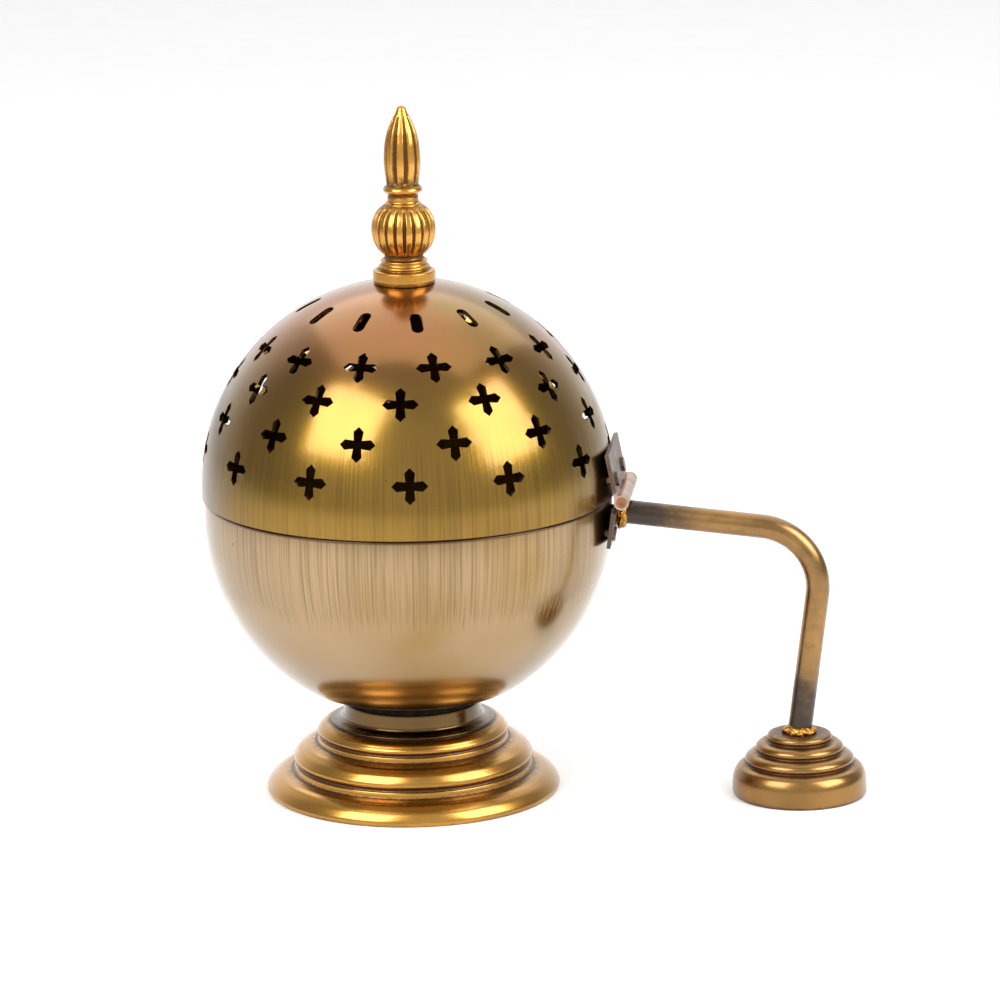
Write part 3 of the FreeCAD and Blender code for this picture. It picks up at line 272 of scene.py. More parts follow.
# ---------------------------------------------------------------- material helpers
class Finish:
    """A node tree being laid out for one finish."""

    def __init__(self, name):
        self.material = bpy.data.materials.new(name)
        self.material.use_nodes = True
        self.nodes = self.material.node_tree.nodes
        self.links = self.material.node_tree.links
        self.nodes.clear()
        self.shader = self.nodes.new("ShaderNodeBsdfPrincipled")
        output = self.nodes.new("ShaderNodeOutputMaterial")
        self.links.new(self.shader.outputs["BSDF"], output.inputs["Surface"])
        self.coords = self.nodes.new("ShaderNodeTexCoord").outputs["Object"]

    def feed(self, socket, source):
        if isinstance(source, bpy.types.NodeSocket):
            self.links.new(source, socket)
        else:
            socket.default_value = source

    def set(self, **values):
        for name, value in values.items():
            self.feed(self.shader.inputs[name.replace("_", " ")], value)

    def wrapped(self):
        """Coordinates with the angle about Z in place of X, so that marks run upright on a turned piece."""
        turn = self.maths("ARCTAN2", self.axis("Y"), self.axis("X"))
        joined = self.nodes.new("ShaderNodeCombineXYZ")
        self.links.new(turn, joined.inputs["X"])
        self.links.new(self.axis("Z"), joined.inputs["Z"])
        return joined.outputs[0]

    def noise(self, scale, detail=4.0, roughness=0.55, stretch=(1, 1, 1), shift=(0, 0, 0), coords=None):
        mapping = self.nodes.new("ShaderNodeMapping")
        mapping.inputs["Scale"].default_value = stretch
        mapping.inputs["Location"].default_value = shift
        self.links.new(coords or self.coords, mapping.inputs["Vector"])
        texture = self.nodes.new("ShaderNodeTexNoise")
        texture.inputs["Scale"].default_value = scale
        texture.inputs["Detail"].default_value = detail
        texture.inputs["Roughness"].default_value = roughness
        self.links.new(mapping.outputs["Vector"], texture.inputs["Vector"])
        return texture.outputs["Fac"]

    def range(self, value, low, high, to_low=0.0, to_high=1.0, smooth=True):
        node = self.nodes.new("ShaderNodeMapRange")
        node.interpolation_type = "SMOOTHSTEP" if smooth else "LINEAR"
        self.links.new(value, node.inputs["Value"])
        for name, number in (("From Min", low), ("From Max", high), ("To Min", to_low), ("To Max", to_high)):
            node.inputs[name].default_value = number
        return node.outputs["Result"]

    def maths(self, operation, first, second=0.0):
        node = self.nodes.new("ShaderNodeMath")
        node.operation = operation
        self.feed(node.inputs[0], first)
        self.feed(node.inputs[1], second)
        return node.outputs[0]

    def mix(self, share, first, second):
        node = self.nodes.new("ShaderNodeMix")
        node.data_type = "RGBA"
        self.feed(node.inputs[0], share)
        for socket, value in ((node.inputs[6], first), (node.inputs[7], second)):
            self.feed(socket, (*value, 1.0) if not isinstance(value, bpy.types.NodeSocket) else value)
        return node.outputs[2]

    def axis(self, name):
        node = self.nodes.new("ShaderNodeSeparateXYZ")
        self.links.new(self.coords, node.inputs[0])
        return node.outputs[name]

    def attribute(self, name):
        node = self.nodes.new("ShaderNodeAttribute")
        node.attribute_name = name
        return node.outputs["Fac"]

    def bump(self, height, distance, amount=1.0, under=None):
        node = self.nodes.new("ShaderNodeBump")
        node.inputs["Distance"].default_value = distance
        node.inputs["Strength"].default_value = amount
        self.links.new(height, node.inputs["Height"])
        if under is not None:
            self.links.new(under, node.inputs["Normal"])
        self.links.new(node.outputs["Normal"], self.shader.inputs["Normal"])
        return node.outputs["Normal"]


def palette():
    return bpy.context.scene.censer_colours


def spun_brass(name, clean, shade, seam, brush_low, brush_high, marks, coat):
    """Lacquered spun sheet: fine lines round it, and upright brush marks in a band beside the seam.

    marks is how dark the brush marks are and coat how thick the lacquer, both from 0 to 1.
    """
    tones = palette()
    finish = Finish(name)
    height = finish.axis("Z")
    wrapped = finish.wrapped()
    cloud = finish.noise(16.0, 3.0)
    upright = finish.noise(1.0, 3.0, 0.75, stretch=(95, 1, 18), coords=wrapped)
    around = finish.noise(1.0, 2.0, 0.6, stretch=(7, 7, 1900))
    ends = finish.noise(1.0, 2.0, 0.7, stretch=(60, 1, 2), shift=(5, 0, 0), coords=wrapped)
    uneven = finish.maths("ADD", height, finish.range(ends, 0.25, 0.75, -5 * MM, 5 * MM, smooth=False))
    band = finish.maths(
        "MULTIPLY",
        finish.range(uneven, brush_low - 1 * MM, brush_low + 2 * MM),
        finish.range(height, brush_high - 8 * MM, brush_high + 10 * MM, 1.0, 0.0),
    )
    tone = finish.mix(finish.range(cloud, 0.35, 0.68), clean, shade)
    streaks = finish.maths("MULTIPLY", band, finish.range(upright, 0.42, 0.66))
    tone = finish.mix(finish.maths("MULTIPLY", streaks, marks), tone, tuple(0.45 * part for part in shade))
    top = finish.maths(
        # Russet over the top of the lid: partly a reddish stain, partly a painted dark reflection of the room
        # above.
        "MULTIPLY",
        finish.range(height, seam + 30 * MM, seam + 48 * MM),
        finish.range(finish.noise(22.0, 4.0, shift=(3, 1, 2)), 0.34, 0.60),
    )
    tone = finish.mix(finish.maths("MULTIPLY", top, 0.85), tone, tuple(tones.russet))
    spots = finish.range(finish.noise(420.0, 1.0, shift=(7, 2, 5)), 0.77, 0.82)
    tone = finish.mix(finish.maths("MULTIPLY", spots, 0.5), tone, tuple(tones.umber))
    # Painted shadow: a dark umber band on the bowl just below the lid's rim, the shade in the gap under the
    # lid.
    joint = finish.maths(
        "MULTIPLY",
        finish.range(height, seam - 1.1 * MM, seam - 0.5 * MM),
        finish.range(height, seam + 0.1 * MM, seam + 0.3 * MM, 1.0, 0.0),
    )
    tone = finish.mix(finish.maths("MULTIPLY", joint, 0.9), tone, tuple(tones.umber))
    rough = finish.range(cloud, 0.3, 0.7, 0.18, 0.25)
    rough = finish.maths("ADD", rough, finish.maths("MULTIPLY", band, 0.05))
    finish.set(Base_Color=tone, Metallic=1.0, Roughness=rough, Coat_Weight=coat, Coat_Roughness=0.14)
    lines = finish.maths("MULTIPLY", upright, band)
    spin_lines = finish.maths("MULTIPLY", around, finish.maths("SUBTRACT", 1.0, band))
    normal = finish.bump(lines, 0.05 * MM, 1.0)
    finish.bump(spin_lines, 0.010 * MM, 0.6, normal)
    return finish.material


def cast_brass(name, clean, low_rough, high_rough, grime_and_shade_amount, pit_depth, coat=0.5):
    """Turned or cast brass with dark brown in its grooves: partly antiquing and partly painted shade."""
    tones = palette()
    finish = Finish(name)
    recess = finish.attribute(GROOVE)
    cloud = finish.noise(45.0, 4.0)
    speckle = finish.noise(700.0, 3.0, 0.7)
    depth = finish.maths("ADD", recess, finish.range(speckle, 0.3, 0.7, -0.16, 0.16, smooth=False))
    # Dark brown painted along the recess layer: antiquing in the hollows and painted shade in the grooves,
    # coves and lower edges.
    grime_and_shade = finish.maths("MULTIPLY", finish.range(depth, 0.22, 0.85), grime_and_shade_amount)
    tone = finish.mix(finish.range(cloud, 0.35, 0.70), clean, tuple(0.72 * part for part in clean))
    tone = finish.mix(grime_and_shade, tone, tuple(tones.umber))
    finish.set(
        Base_Color=tone,
        Metallic=1.0,
        Roughness=finish.maths("ADD", finish.range(cloud, 0.3, 0.7, low_rough, high_rough),
                               finish.maths("MULTIPLY", grime_and_shade, 0.25)),
        Coat_Weight=coat,
        Coat_Roughness=0.15,
    )
    ring = finish.noise(1.0, 2.0, 0.6, stretch=(10, 10, 1500))
    normal = finish.bump(ring, 0.010 * MM, 0.5)
    finish.bump(speckle, pit_depth, 0.5, normal)
    return finish.material


def rod_brass():
    """Drawn rod: gold streaks between dark oxide at the hinge end and above the small foot."""
    tones = palette()
    finish = Finish("drawn_rod_brass")
    patch = finish.noise(120.0, 4.0, 0.65)
    streak = finish.noise(1.0, 3.0, 0.6, stretch=(90, 800, 260))
    near_hinge = finish.range(finish.axis("X"), HINGE.x + 3 * MM, HINGE.x + 27 * MM, 1.0, 0.0)
    low_end = finish.range(finish.axis("Z"), HANDLE_DECK + 2 * MM, HANDLE_DECK + 26 * MM, 1.0, 0.0)
    ends = finish.maths("MAXIMUM", near_hinge, low_end)
    amount = finish.maths("ADD", ends, finish.range(patch, 0.3, 0.7, -0.30, 0.30, smooth=False))
    dark = finish.range(amount, 0.15, 1.0, 0.0, 0.95)
    stain = finish.maths("MULTIPLY", finish.range(streak, 0.52, 0.74), 0.55)
    darker, paler = (tuple(share * part for part in tones.dull) for share in (0.8, 1.15))
    tone = finish.mix(finish.range(patch, 0.35, 0.7), darker, paler)
    tone = finish.mix(stain, tone, tuple(tones.olive))
    tone = finish.mix(dark, tone, tuple(tones.oxide))
    finish.set(Base_Color=tone, Metallic=1.0,
               Roughness=finish.maths("ADD", finish.range(patch, 0.3, 0.7, 0.26, 0.38),
                                      finish.maths("MULTIPLY", dark, 0.16)),
               Coat_Weight=0.6, Coat_Roughness=0.2)
    finish.bump(finish.maths("ADD", streak, patch), 0.03 * MM, 0.6)
    return finish.material


def plain_metal(name, clean, stain, low_rough, high_rough, scale=60.0, mark=0.6):
    """Satin metal with cloudy staining and fine scratches."""
    finish = Finish(name)
    cloud = finish.noise(scale, 4.0, 0.6)
    scratch = finish.noise(1.0, 2.0, 0.7, stretch=(1600, 260, 900))
    tone = finish.mix(finish.range(cloud, 0.40, 0.72, 0.0, mark), clean, stain)
    finish.set(Base_Color=tone, Metallic=1.0, Roughness=finish.range(cloud, 0.3, 0.7, low_rough, high_rough))
    finish.bump(scratch, 0.012 * MM, 0.6)
    return finish.material


def hinge_brass():
    """Cut sheet of the hinge: flats painted dark as a painted dark reflection, and paler knuckles round the
    pin.
    """
    tones = palette()
    finish = Finish("hinge_sheet_brass")
    across = finish.maths("SUBTRACT", finish.axis("X"), HINGE.x)
    above = finish.maths("SUBTRACT", finish.axis("Z"), HINGE.z)
    reach = finish.maths("SQRT", finish.maths("ADD", finish.maths("MULTIPLY", across, across),
                                              finish.maths("MULTIPLY", above, above)))
    cloud = finish.noise(180.0, 4.0, 0.6)
    # Paler knuckles round the pin; the flats beyond are painted dark as a painted dark reflection.
    rubbed = finish.range(reach, 2.4 * MM, 3.2 * MM, 1.0, 0.0)
    tone = finish.mix(rubbed, tuple(tones.plate), tuple(tones.sheet))
    tone = finish.mix(finish.range(cloud, 0.45, 0.75, 0.0, 0.5), tone, tuple(tones.copper))
    finish.set(Base_Color=tone, Metallic=1.0, Roughness=finish.range(cloud, 0.3, 0.7, 0.30, 0.45))
    finish.bump(cloud, 0.02 * MM, 0.5)
    return finish.material


def heat_spacer():
    """Black pressed-fibre spacer."""
    tones = palette()
    finish = Finish("black_fibre")
    fibre = finish.noise(900.0, 3.0, 0.7, stretch=(1, 1, 0.4))
    tone = finish.mix(finish.range(fibre, 0.4, 0.7), tuple(tones.black), (0.014, 0.011, 0.009))
    finish.set(Base_Color=tone, Roughness=0.9, Specular_IOR_Level=0.1)
    finish.bump(fibre, 0.05 * MM, 0.5)
    return finish.material


def finishes():
    """Every finish by name, made once."""
    if not FINISHES:
        tones = palette()
        gold, olive, tan = tuple(tones.gold), tuple(tones.olive), tuple(tones.tan)
        umber, soot = tuple(tones.umber), tuple(tones.soot)
        # The neck's gold is the feet's rich gold darkened to 0.22: painted shade under the bowl.
        painted_shade_gold = tuple(0.22 * part for part in tones.rich)
        # The rivets take twice the flats' painted dark.
        dark_sheet = tuple(2 * part for part in tones.plate)
        seam = (BOWL_RIM + LID_RIM) / 2
        FINISHES.update({
            "lid": spun_brass("spun_lid_brass", gold, olive, seam, seam - 4 * MM, seam + 20 * MM, 0.42, 0.45),
            "bowl": spun_brass("spun_bowl_brass", tan, gold, seam, seam - 22 * MM, seam + 6 * MM, 0.62, 0.8),
            "inside": plain_metal("unpolished_inside_brass", olive, soot, 0.38, 0.55),
            "foot": cast_brass("polished_foot_brass", tuple(tones.rich), 0.21, 0.28, 0.95, 0.004 * MM),
            # The neck takes the darkened gold: painted shade under the bowl.
            "neck": cast_brass("neck_brass", painted_shade_gold, 0.17, 0.23, 0.95, 0.004 * MM),
            "small_foot": cast_brass("dull_foot_brass", tuple(tones.dull), 0.24, 0.36, 0.95, 0.02 * MM, 0.3),
            "finial": cast_brass("cast_finial_brass", tuple(tones.cast), 0.20, 0.32, 0.95, 0.03 * MM, 0.2),
            "rod": rod_brass(),
            "leaf": hinge_brass(),
            "rivet": plain_metal("rivet_brass", dark_sheet, umber, 0.32, 0.5, 300.0),
            "pin": plain_metal("dull_pin_brass", tuple(tones.copper), umber, 0.32, 0.5, 300.0),
            "braze": plain_metal("braze_metal", tuple(tones.cast), umber, 0.24, 0.42, 420.0, 0.95),
            "steel": plain_metal("plated_steel", tuple(tones.steel), (0.22, 0.21, 0.20), 0.25, 0.4),
            "spacer": heat_spacer(),
        })
    return FINISHES


FINISHES = {}

CAD_FINISHES = {
    "lid_dome": "lid",
    "bowl_lip_ring": "inside",
    "ember_cup": "inside",
    "lid_hinge_leaf": "leaf",
    "bowl_hinge_leaf": "leaf",
    "hinge_pin": "pin",
    "lid_leaf_rivets": "rivet",
    "bowl_leaf_rivets": "rivet",
    "handle_tenon_washer": "pin",
    "handle_rod": "rod",
    "foot_screw": "steel",
    "foot_screw_washer": "steel",
    "foot_washer": "steel",
    "foot_nut": "steel",
    "finial_stud": "steel",
    "finial_washer": "steel",
    "finial_nut": "steel",
    "neck_spacer": "spacer",
}


# ---------------------------------------------------------------- operators
class CenserOperator:
    """What the operators share."""

    bl_options = {"REGISTER", "UNDO"}


class CENSER_OT_cad_finishes(CenserOperator, bpy.types.Operator):
    """Give each CAD piece that stays in view its finish."""

    bl_idname = "censer.cad_finishes"
    bl_label = "Finish the CAD pieces"

    def execute(self, context):
        for node, finish in CAD_FINISHES.items():
            mesh = frame["nodes"][node].data
            mesh.materials.clear()
            mesh.materials.append(finishes()[finish])
        return {"FINISHED"}


class CENSER_OT_bowl(CenserOperator, bpy.types.Operator):
    """Spin the bowl with a rounded rim and a flat floor."""

    bl_idname = "censer.bowl"
    bl_label = "Bowl"

    def execute(self, context):
        sizes = context.scene.censer_shell
        wall, floor_round = sizes.wall, sizes.floor_round
        centre = BOWL_RIM - sizes.skirt
        reach = BOWL_RADIUS - floor_round
        lean = math.asin((centre - BOWL_FLOOR - floor_round) / reach)
        flat = reach * math.cos(lean)
        low_centre = Vector((flat, BOWL_FLOOR + floor_round))
        outline = [(SCREW_BORE, BOWL_FLOOR, 0.3)]
        for step in range(9):
            turn = -math.pi / 2 + (math.pi / 2 - lean) * step / 8
            outline.append((low_centre.x + floor_round * math.cos(turn),
                            low_centre.y + floor_round * math.sin(turn), 0.0))
        outline += [(r, z, 0.0) for r, z in arc(centre, BOWL_RADIUS, -lean, 0.0, 56)][1:]
        edge = sizes.rim_round
        for step in range(5):
            turn = math.pi / 2 * step / 4
            outline.append((BOWL_RADIUS - edge + edge * math.cos(turn),
                            BOWL_RIM - edge + edge * math.sin(turn), 0.1))
        inner = BOWL_RADIUS - wall
        for step in range(5):
            turn = math.pi / 2 + math.pi / 2 * step / 4
            outline.append((inner + edge + edge * math.cos(turn),
                            BOWL_RIM - edge + edge * math.sin(turn), 0.1))
        outline += [(r, z, 1.0) for r, z in arc(centre, inner, 0.0, -lean, 40)]
        inner_round = floor_round - wall
        for step in range(7):
            turn = -lean + (lean - math.pi / 2) * step / 6
            outline.append((low_centre.x + inner_round * math.cos(turn),
                            low_centre.y + inner_round * math.sin(turn), 1.0))
        outline.append((SCREW_BORE, BOWL_FLOOR + wall, 1.0))
        outline.append(outline[0])
        made = spun(outline, sizes.spin_steps)
        piece = finished("spun_bowl", made, "root", ("bowl",),
                         (finishes()["bowl"], finishes()["inside"]))
        middle = Vector((0, 0, centre))
        for polygon in piece.data.polygons:
            inward = polygon.normal.dot(polygon.center - middle) < 0
            if inward and polygon.center.z < BOWL_RIM - edge:
                polygon.material_index = 1
        return {"FINISHED"}


class CENSER_OT_foot(CenserOperator, bpy.types.Operator):
    """Turn the main foot's three rolls and the flared neck above it."""

    bl_idname = "censer.foot"
    bl_label = "Foot and neck"

    def execute(self, context):
        steps = context.scene.censer_shell.spin_steps
        grow = FOOT_RADIUS / FOOT_DRAWN_RADIUS
        # The last number of each point is the recess: where dark brown is painted as antiquing and painted
        # shade in the grooves and at the bottom edge.
        rolls = [
            (36.9, 0.0, 70, 0.7), (37.3, 0.9, 92, 0.0), (36.5, 2.6, 122, 0.0), (34.5, 4.35, 144, 0.0),
            (31.3, 5.25, 165, 0.55), (30.8, 5.32, 180, 1.0), (30.4, 5.6, 95, 0.5), (30.25, 6.5, 95, 0.0),
            (29.95, 6.85, 175, 0.5), (29.6, 7.3, 90, 1.0), (30.0, 7.8, 35, 0.75), (30.4, 8.7, 92, 0.0),
            (29.4, 10.5, 125, 0.0), (27.6, 11.85, 145, 0.0), (25.1, 12.75, 160, 0.55),
            (24.6, 12.87, 180, 1.0),
            (24.3, 13.1, 95, 0.5), (24.15, 13.8, 95, 0.0), (23.9, 14.1, 175, 0.5), (23.55, 14.5, 90, 1.0),
            (23.9, 14.95, 40, 0.75), (24.2, 15.6, 92, 0.0), (23.5, 16.7, 125, 0.0), (22.4, 17.55, 145, 0.0),
            (20.9, 17.9, 165, 0.8), (12.0, 17.9, 180, 0.9),
        ]
        outline = moulding([(r * grow * MM, z * MM, turn, recess) for r, z, turn, recess in rolls], 9)
        made = spun(outline, steps)
        piece = finished("turned_foot", made, "root", ("foot_base",), (finishes()["foot"],))
        shell = piece.modifiers.new("sheet", "SOLIDIFY")
        shell.thickness = context.scene.censer_shell.wall
        shell.offset = -1.0
        top = NECK_TOP + 0.5 * MM
        low = FOOT_DECK - 0.2 * MM
        # The last number of each point is the recess: where dark brown is painted as antiquing and painted
        # shade.
        neck = [
            (NECK_BORE, low, 0, 0.9), (NECK_FLARE - 0.1 * MM, low, 0, 0.9),
            (NECK_FLARE, low + 0.25 * MM, 90, 0.3),
            (NECK_FLARE - 0.3 * MM, low + 0.5 * MM, 180, 0.5), (17.6 * MM, low + 1.7 * MM, 92, 0.0),
            (17.4 * MM, top - 0.5 * MM, 90, 0.0), (17.35 * MM, top - 0.2 * MM, 90, 0.1),
            (17.1 * MM, top, 180, 0.9),
            (NECK_BORE, top, 180, 1.0), (NECK_BORE, low, 270, 1.0),
        ]
        made = spun(moulding(neck, 6), steps)
        finished("turned_neck", made, "root", ("foot_neck",), (finishes()["neck"],))
        return {"FINISHED"}


class CENSER_OT_handle_foot(CenserOperator, bpy.types.Operator):
    """Turn the small foot's four rolls."""

    bl_idname = "censer.handle_foot"
    bl_label = "Handle foot"

    def execute(self, context):
        grow = HANDLE_FOOT_RADIUS / HANDLE_FOOT_DRAWN_RADIUS
        # The last number of each point is the recess: where dark brown is painted as antiquing and painted
        # shade in the grooves and at the bottom edge.
        rolls = [
            (16.5, 0.0, 60, 0.8), (17.0, 1.2, 90, 0.1), (16.85, 4.4, 96, 0.0), (15.9, 6.9, 125, 0.0),
            (14.2, 7.9, 165, 0.5), (13.5, 8.25, 90, 1.0), (13.75, 9.2, 90, 0.1), (12.6, 10.6, 150, 0.1),
            (11.1, 11.05, 165, 0.6), (10.85, 11.4, 90, 1.0), (11.1, 12.2, 90, 0.1), (10.1, 13.4, 150, 0.1),
            (8.4, 13.75, 165, 0.7), (8.0, 14.1, 90, 1.0), (8.2, 14.9, 90, 0.2), (7.0, 15.8, 180, 0.6),
            (3.25, 15.8, 180, 0.9),
        ]
        outline = moulding([(r * grow * MM, z * MM, turn, recess) for r, z, turn, recess in rolls], 9)
        made = spun(outline, context.scene.censer_shell.spin_steps * 2 // 3, Vector((HANDLE_FOOT_X, 0, 0)))
        piece = finished("turned_handle_foot", made, "root", ("handle_foot",),
                         (finishes()["small_foot"],))
        shell = piece.modifiers.new("sheet", "SOLIDIFY")
        shell.thickness = SMALL_FOOT_WALL
        shell.offset = -1.0
        return {"FINISHED"}


def lobed(made, count, depth, width, low, high, fade):
    """Press evenly spaced grooves into a turned blank between two heights; sets the recess layer, along which
    dark brown is painted as antiquing and painted shade.
    """
    recess = made.verts.layers.float[GROOVE]
    for vert in made.verts:
        radius = math.hypot(vert.co.x, vert.co.y)
        if radius < 0.1 * MM or not low <= vert.co.z <= high:
            continue
        ends = min((vert.co.z - low) / fade, (high - vert.co.z) / fade, 1.0)
        ends = ends * ends * (3 - 2 * ends)
        turn = (math.atan2(vert.co.y, vert.co.x) + math.pi / 2) * count / 2 + math.pi / 2
        groove = min(max((width - abs(math.sin(turn))) / 0.45 + 0.35, 0.0), 1.0)
        groove = groove * groove * (3 - 2 * groove) * ends
        vert[recess] = max(vert[recess], groove)
        scale = 1 - depth * groove
        vert.co.x *= scale
        vert.co.y *= scale


class CENSER_OT_finial(CenserOperator, bpy.types.Operator):
    """Turn the collar and cut the lobes of the ball and the ribs of the bud."""

    bl_idname = "censer.finial"
    bl_label = "Finial"

    def execute(self, context):
        sizes = context.scene.censer_finial
        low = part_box("finial_collar")[0][2]
        base_radius = span("finial_collar")[0]
        seat = span("lid_dome")[2]
        knop_radius, knop_low, knop_high = span("finial_knop")
        bud_low = knop_high
        # The last number of each point is the recess: where dark brown is painted as antiquing and painted
        # shade.
        collar = [
            (STUD_BORE, seat, 0, 1.0), (base_radius - 0.5 * MM, low, 0, 1.0),
            (base_radius - 0.2 * MM, low + 0.3 * MM, 90, 0.6),
            (base_radius - 0.1 * MM, seat + 0.6 * MM, 90, 0.0),
            (base_radius - 0.15 * MM, seat + 2.5 * MM, 90, 0.0),
            (base_radius - 0.55 * MM, seat + 2.85 * MM, 170, 0.0),
            (6.5 * MM, seat + 3.0 * MM, 175, 0.9), (6.3 * MM, seat + 3.3 * MM, 80, 0.3),
            (6.45 * MM, seat + 3.7 * MM, 100, 0.0), (6.1 * MM, seat + 4.1 * MM, 150, 0.5),
            (5.75 * MM, seat + 4.8 * MM, 90, 0.4), (5.9 * MM, seat + 5.25 * MM, 90, 0.0),
            (5.4 * MM, seat + 5.6 * MM, 160, 0.4), (4.85 * MM, seat + 6.2 * MM, 95, 0.8),
            (4.85 * MM, knop_low, 90, 1.0), (STUD_BORE, knop_low, 180, 1.0), (STUD_BORE, seat, 270, 1.0),
        ]
        made = spun(moulding(collar, 6), 96)
        finished("finial_collar_turned", made, "lid", ("finial_collar",), (finishes()["finial"],))

        shoulder = knop_high - 1.5 * MM
        middle = (knop_low + shoulder) / 2
        knop = [
            (STUD_BORE, knop_low, 0, 0.6), (4.85 * MM, knop_low, 35, 0.6),
            (knop_radius - 0.1 * MM, middle, 90, 0.0),
            (4.6 * MM, shoulder, 150, 0.6), (4.5 * MM, shoulder + 0.35 * MM, 90, 0.0),
            (4.1 * MM, shoulder + 0.6 * MM, 150, 0.5), (3.85 * MM, knop_high, 95, 0.2),
            (STUD_BORE, knop_high, 180, 0.6), (STUD_BORE, knop_low, 270, 1.0),
        ]
        made = spun(moulding(knop, 22), sizes.knop_lobes * sizes.faces_per_lobe)
        lobed(made, sizes.knop_lobes, sizes.knop_depth, 0.55, knop_low + 0.1 * MM, shoulder, 1.6 * MM)
        finished("finial_knop_fluted", made, "lid", ("finial_knop",), (finishes()["finial"],))

        tip = FINIAL_TIP - 1.0 * MM
        bud = [
            (STUD_BORE, bud_low, 0, 0.9), (3.85 * MM, bud_low, 90, 0.2),
            (3.75 * MM, bud_low + 0.8 * MM, 90, 0.8),
            (4.9 * MM, bud_low + 2.2 * MM, 90, 0.0), (4.1 * MM, bud_low + 3.3 * MM, 150, 0.7),
            (4.0 * MM, bud_low + 3.7 * MM, 85, 0.7), (4.6 * MM, tip - 14.0 * MM, 90, 0.0),
            (4.4 * MM, tip - 10.0 * MM, 95, 0.0), (3.85 * MM, tip - 7.2 * MM, 102, 0.0),
            (2.75 * MM, tip - 4.2 * MM, 112, 0.0), (1.45 * MM, tip - 1.7 * MM, 115, 0.0),
            (0.85 * MM, tip - 0.4 * MM, 135, 0.0), (0.0, tip, 180, 0.0),
        ]
        made = spun(moulding(bud, 16), sizes.bud_ribs * sizes.faces_per_lobe)
        lobed(made, sizes.bud_ribs, sizes.bud_depth, 0.62, bud_low + 3.5 * MM, tip - 2.2 * MM, 0.9 * MM)
        finished("finial_bud_fluted", made, "lid", ("finial_bud",), (finishes()["finial"],))
        return {"FINISHED"}


def lump(name, centre, axis, radii, body, node, seed, roughness):
    """Blob of braze: a ball flattened along axis, its skin pushed about by noise."""
    made = bmesh.new()
    made.verts.layers.float.new(GROOVE)
    bmesh.ops.create_icosphere(made, subdivisions=5, radius=1.0)
    turn = axis.to_track_quat("Z", "Y").to_matrix().to_4x4()
    place = Matrix.Translation(centre) @ turn @ Matrix.Diagonal((*radii, 1.0))
    rolled = Vector((seed, seed * 2.0, seed * 3.0))
    for vert in made.verts:
        push = noise.fractal(vert.co * 1.7 + rolled, 0.6, 2.0, 3)
        vert.co *= 1 + roughness * push
    bmesh.ops.transform(made, matrix=place, verts=made.verts)
    return finished(name, made, body, (node,), (finishes()["braze"],))


class CENSER_OT_braze(CenserOperator, bpy.types.Operator):
    """Lay the lumpy braze at both ends of the handle rod."""

    bl_idname = "censer.braze"
    bl_label = "Braze"

    def execute(self, context):
        low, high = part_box("handle_braze")
        centre = (Vector(low) + Vector(high)) / 2
        lump("braze_at_hinge", centre - Vector((0.2, 0, 0.6)) * MM, Vector((1, 0, -0.1)),
             (4.0 * MM, 3.6 * MM, 1.5 * MM), "root", "handle_braze", 1.7, 0.22)
        low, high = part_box("handle_foot_braze")
        centre = Vector(((low[0] + high[0]) / 2, 0, HANDLE_DECK + 0.2 * MM))
        lump("braze_at_handle_foot", centre, Vector((0.1, 0, 1)),
             (4.1 * MM, 4.0 * MM, 2.3 * MM), "root", "handle_foot_braze", 4.3, 0.2)
        return {"FINISHED"}


# ---------------------------------------------------------------- stage
def softbox(name, place, target, width, power):
    light = bpy.data.lights.new(name, "AREA")
    light.shape = "SQUARE"
    light.size = width
    light.energy = power
    lamp = bpy.data.objects.new(name, light)
    lamp.location = place
    lamp.rotation_euler = (target - place).to_track_quat("-Z", "Y").to_euler()
    bpy.context.scene.collection.objects.link(lamp)
    return lamp


def studio_world(sizes):
    """Pale wall behind the object and a dim room in front; the camera itself sees plain white."""
    world = bpy.data.worlds.new("studio")
    bpy.context.scene.world = world
    world.use_nodes = True
    nodes, links = world.node_tree.nodes, world.node_tree.links
    nodes.clear()
    direction = nodes.new("ShaderNodeTexCoord").outputs["Generated"]
    facing = nodes.new("ShaderNodeVectorMath")
    facing.operation = "DOT_PRODUCT"
    facing.inputs[1].default_value = (-0.20, 0.98, 0.0)
    links.new(direction, facing.inputs[0])
    steps = []
    for low, high in ((-1.0, 0.10), (0.30, 0.97)):
        step = nodes.new("ShaderNodeMapRange")
        step.interpolation_type = "SMOOTHSTEP"
        step.inputs["From Min"].default_value = low
        step.inputs["From Max"].default_value = high
        links.new(facing.outputs["Value"], step.inputs["Value"])
        steps.append(step)
    front, wall = steps
    front.inputs["To Min"].default_value = sizes.room_front
    front.inputs["To Max"].default_value = sizes.room_beside
    links.new(front.outputs["Result"], wall.inputs["To Min"])
    wall.inputs["To Max"].default_value = sizes.room_behind
    seen = nodes.new("ShaderNodeLightPath").outputs["Is Camera Ray"]
    brightness = nodes.new("ShaderNodeMix")
    brightness.data_type = "FLOAT"
    links.new(seen, brightness.inputs[0])
    links.new(wall.outputs["Result"], brightness.inputs[2])
    brightness.inputs[3].default_value = 1.0
    background = nodes.new("ShaderNodeBackground")
    background.inputs["Color"].default_value = (1.0, 1.0, 1.0, 1.0)
    links.new(brightness.outputs[0], background.inputs["Strength"])
    output = nodes.new("ShaderNodeOutputWorld")
    links.new(background.outputs[0], output.inputs["Surface"])


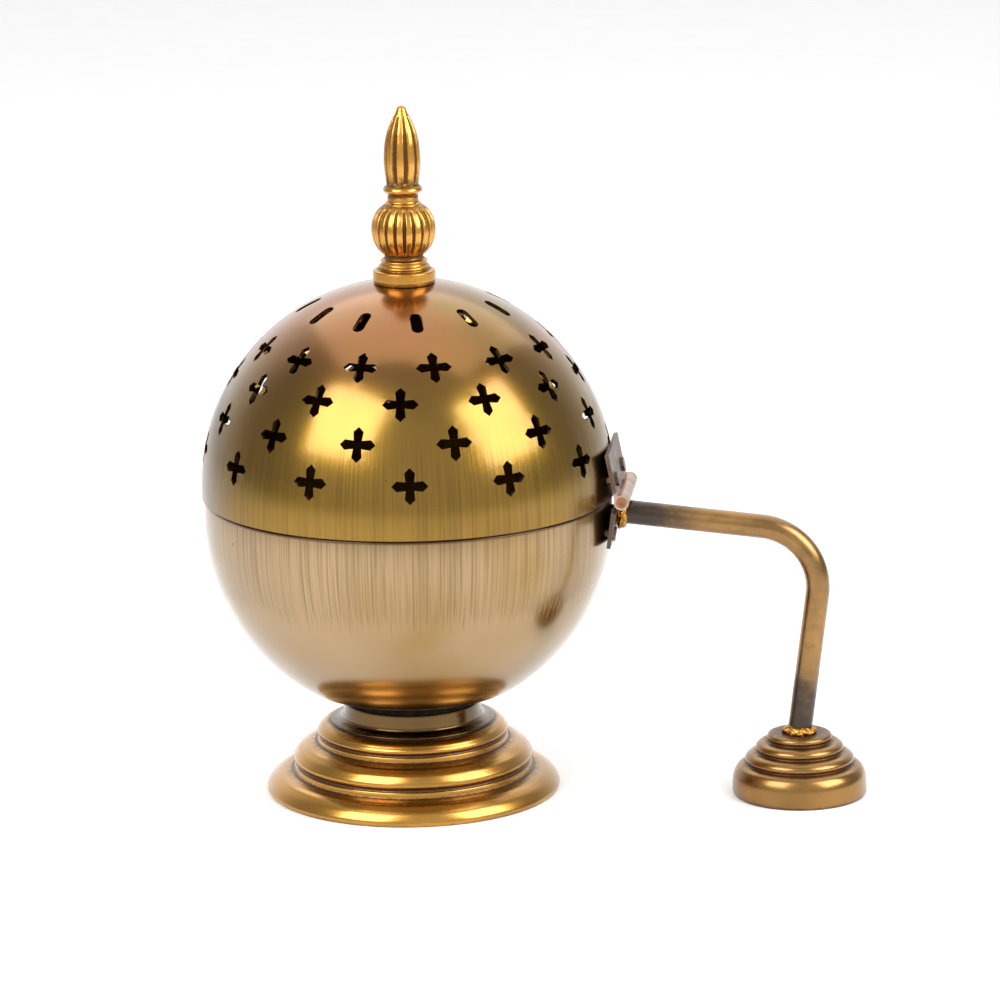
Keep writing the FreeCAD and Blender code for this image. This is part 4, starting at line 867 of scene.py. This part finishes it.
class CENSER_OT_stage(CenserOperator, bpy.types.Operator):
    """Set the floor, lights, world and camera."""

    bl_idname = "censer.stage"
    bl_label = "Stage"

    def execute(self, context):
        sizes = context.scene.censer_stage
        made = bmesh.new()
        bmesh.ops.create_grid(made, x_segments=8, y_segments=8, size=sizes.floor_size / 2)
        mesh = bpy.data.meshes.new("pale_floor")
        made.to_mesh(mesh)
        made.free()
        floor = bpy.data.objects.new("pale_floor", mesh)
        finish = Finish("pale_paper")
        grain = finish.noise(60.0, 3.0)
        finish.set(Base_Color=finish.mix(grain, (0.82, 0.82, 0.82), (0.86, 0.86, 0.86)), Roughness=0.6)
        mesh.materials.append(finish.material)
        context.scene.collection.objects.link(floor)

        middle = Vector((0, 0, LID_RIM))
        for name, toward in SOFTBOX_DIRECTIONS.items():
            softbox(name, middle + toward * sizes.key_distance, middle, sizes.key_size, sizes.key_power)
        softbox("top_softbox", middle + TOP_SOFTBOX_PLACE, middle, TOP_SOFTBOX_SIZE, sizes.top_power)
        studio_world(sizes)

        lens = bpy.data.cameras.new("camera")
        lens.lens = sizes.lens
        lens.sensor_width = SENSOR_WIDTH
        lens.clip_start, lens.clip_end = 0.01, 50.0
        camera = bpy.data.objects.new("camera", lens)
        camera.location = sizes.camera_place
        camera.rotation_euler = sizes.camera_turn
        context.scene.collection.objects.link(camera)
        context.scene.camera = camera
        context.scene.view_settings.view_transform = "Standard"
        return {"FINISHED"}


OPERATORS = (
    CENSER_OT_cad_finishes,
    CENSER_OT_bowl,
    CENSER_OT_foot,
    CENSER_OT_handle_foot,
    CENSER_OT_finial,
    CENSER_OT_braze,
    CENSER_OT_stage,
)


class CENSER_PT_pieces(bpy.types.Panel):
    """Lists the pieces of the censer."""

    bl_label = "Hand censer"
    bl_idname = "CENSER_PT_pieces"
    bl_space_type = "VIEW_3D"
    bl_region_type = "UI"
    bl_category = "Censer"

    def draw(self, context):
        for operator in OPERATORS:
            self.layout.operator(operator.bl_idname)


CLASSES = (*GROUPS, *OPERATORS, CENSER_PT_pieces)
SETTINGS = {
    "censer_shell": CenserShellSizes,
    "censer_finial": CenserFinialSizes,
    "censer_colours": CenserColours,
    "censer_stage": CenserStageSizes,
}


def register():
    for part in CLASSES:
        bpy.utils.register_class(part)
    for name, group in SETTINGS.items():
        setattr(bpy.types.Scene, name, bpy.props.PointerProperty(type=group))


def unregister():
    for name in SETTINGS:
        delattr(bpy.types.Scene, name)
    for part in reversed(CLASSES):
        bpy.utils.unregister_class(part)


def main():
    register()
    for operator in OPERATORS:
        group, name = operator.bl_idname.split(".")
        getattr(getattr(bpy.ops, group), name)()


if __name__ == "__main__":
    main()
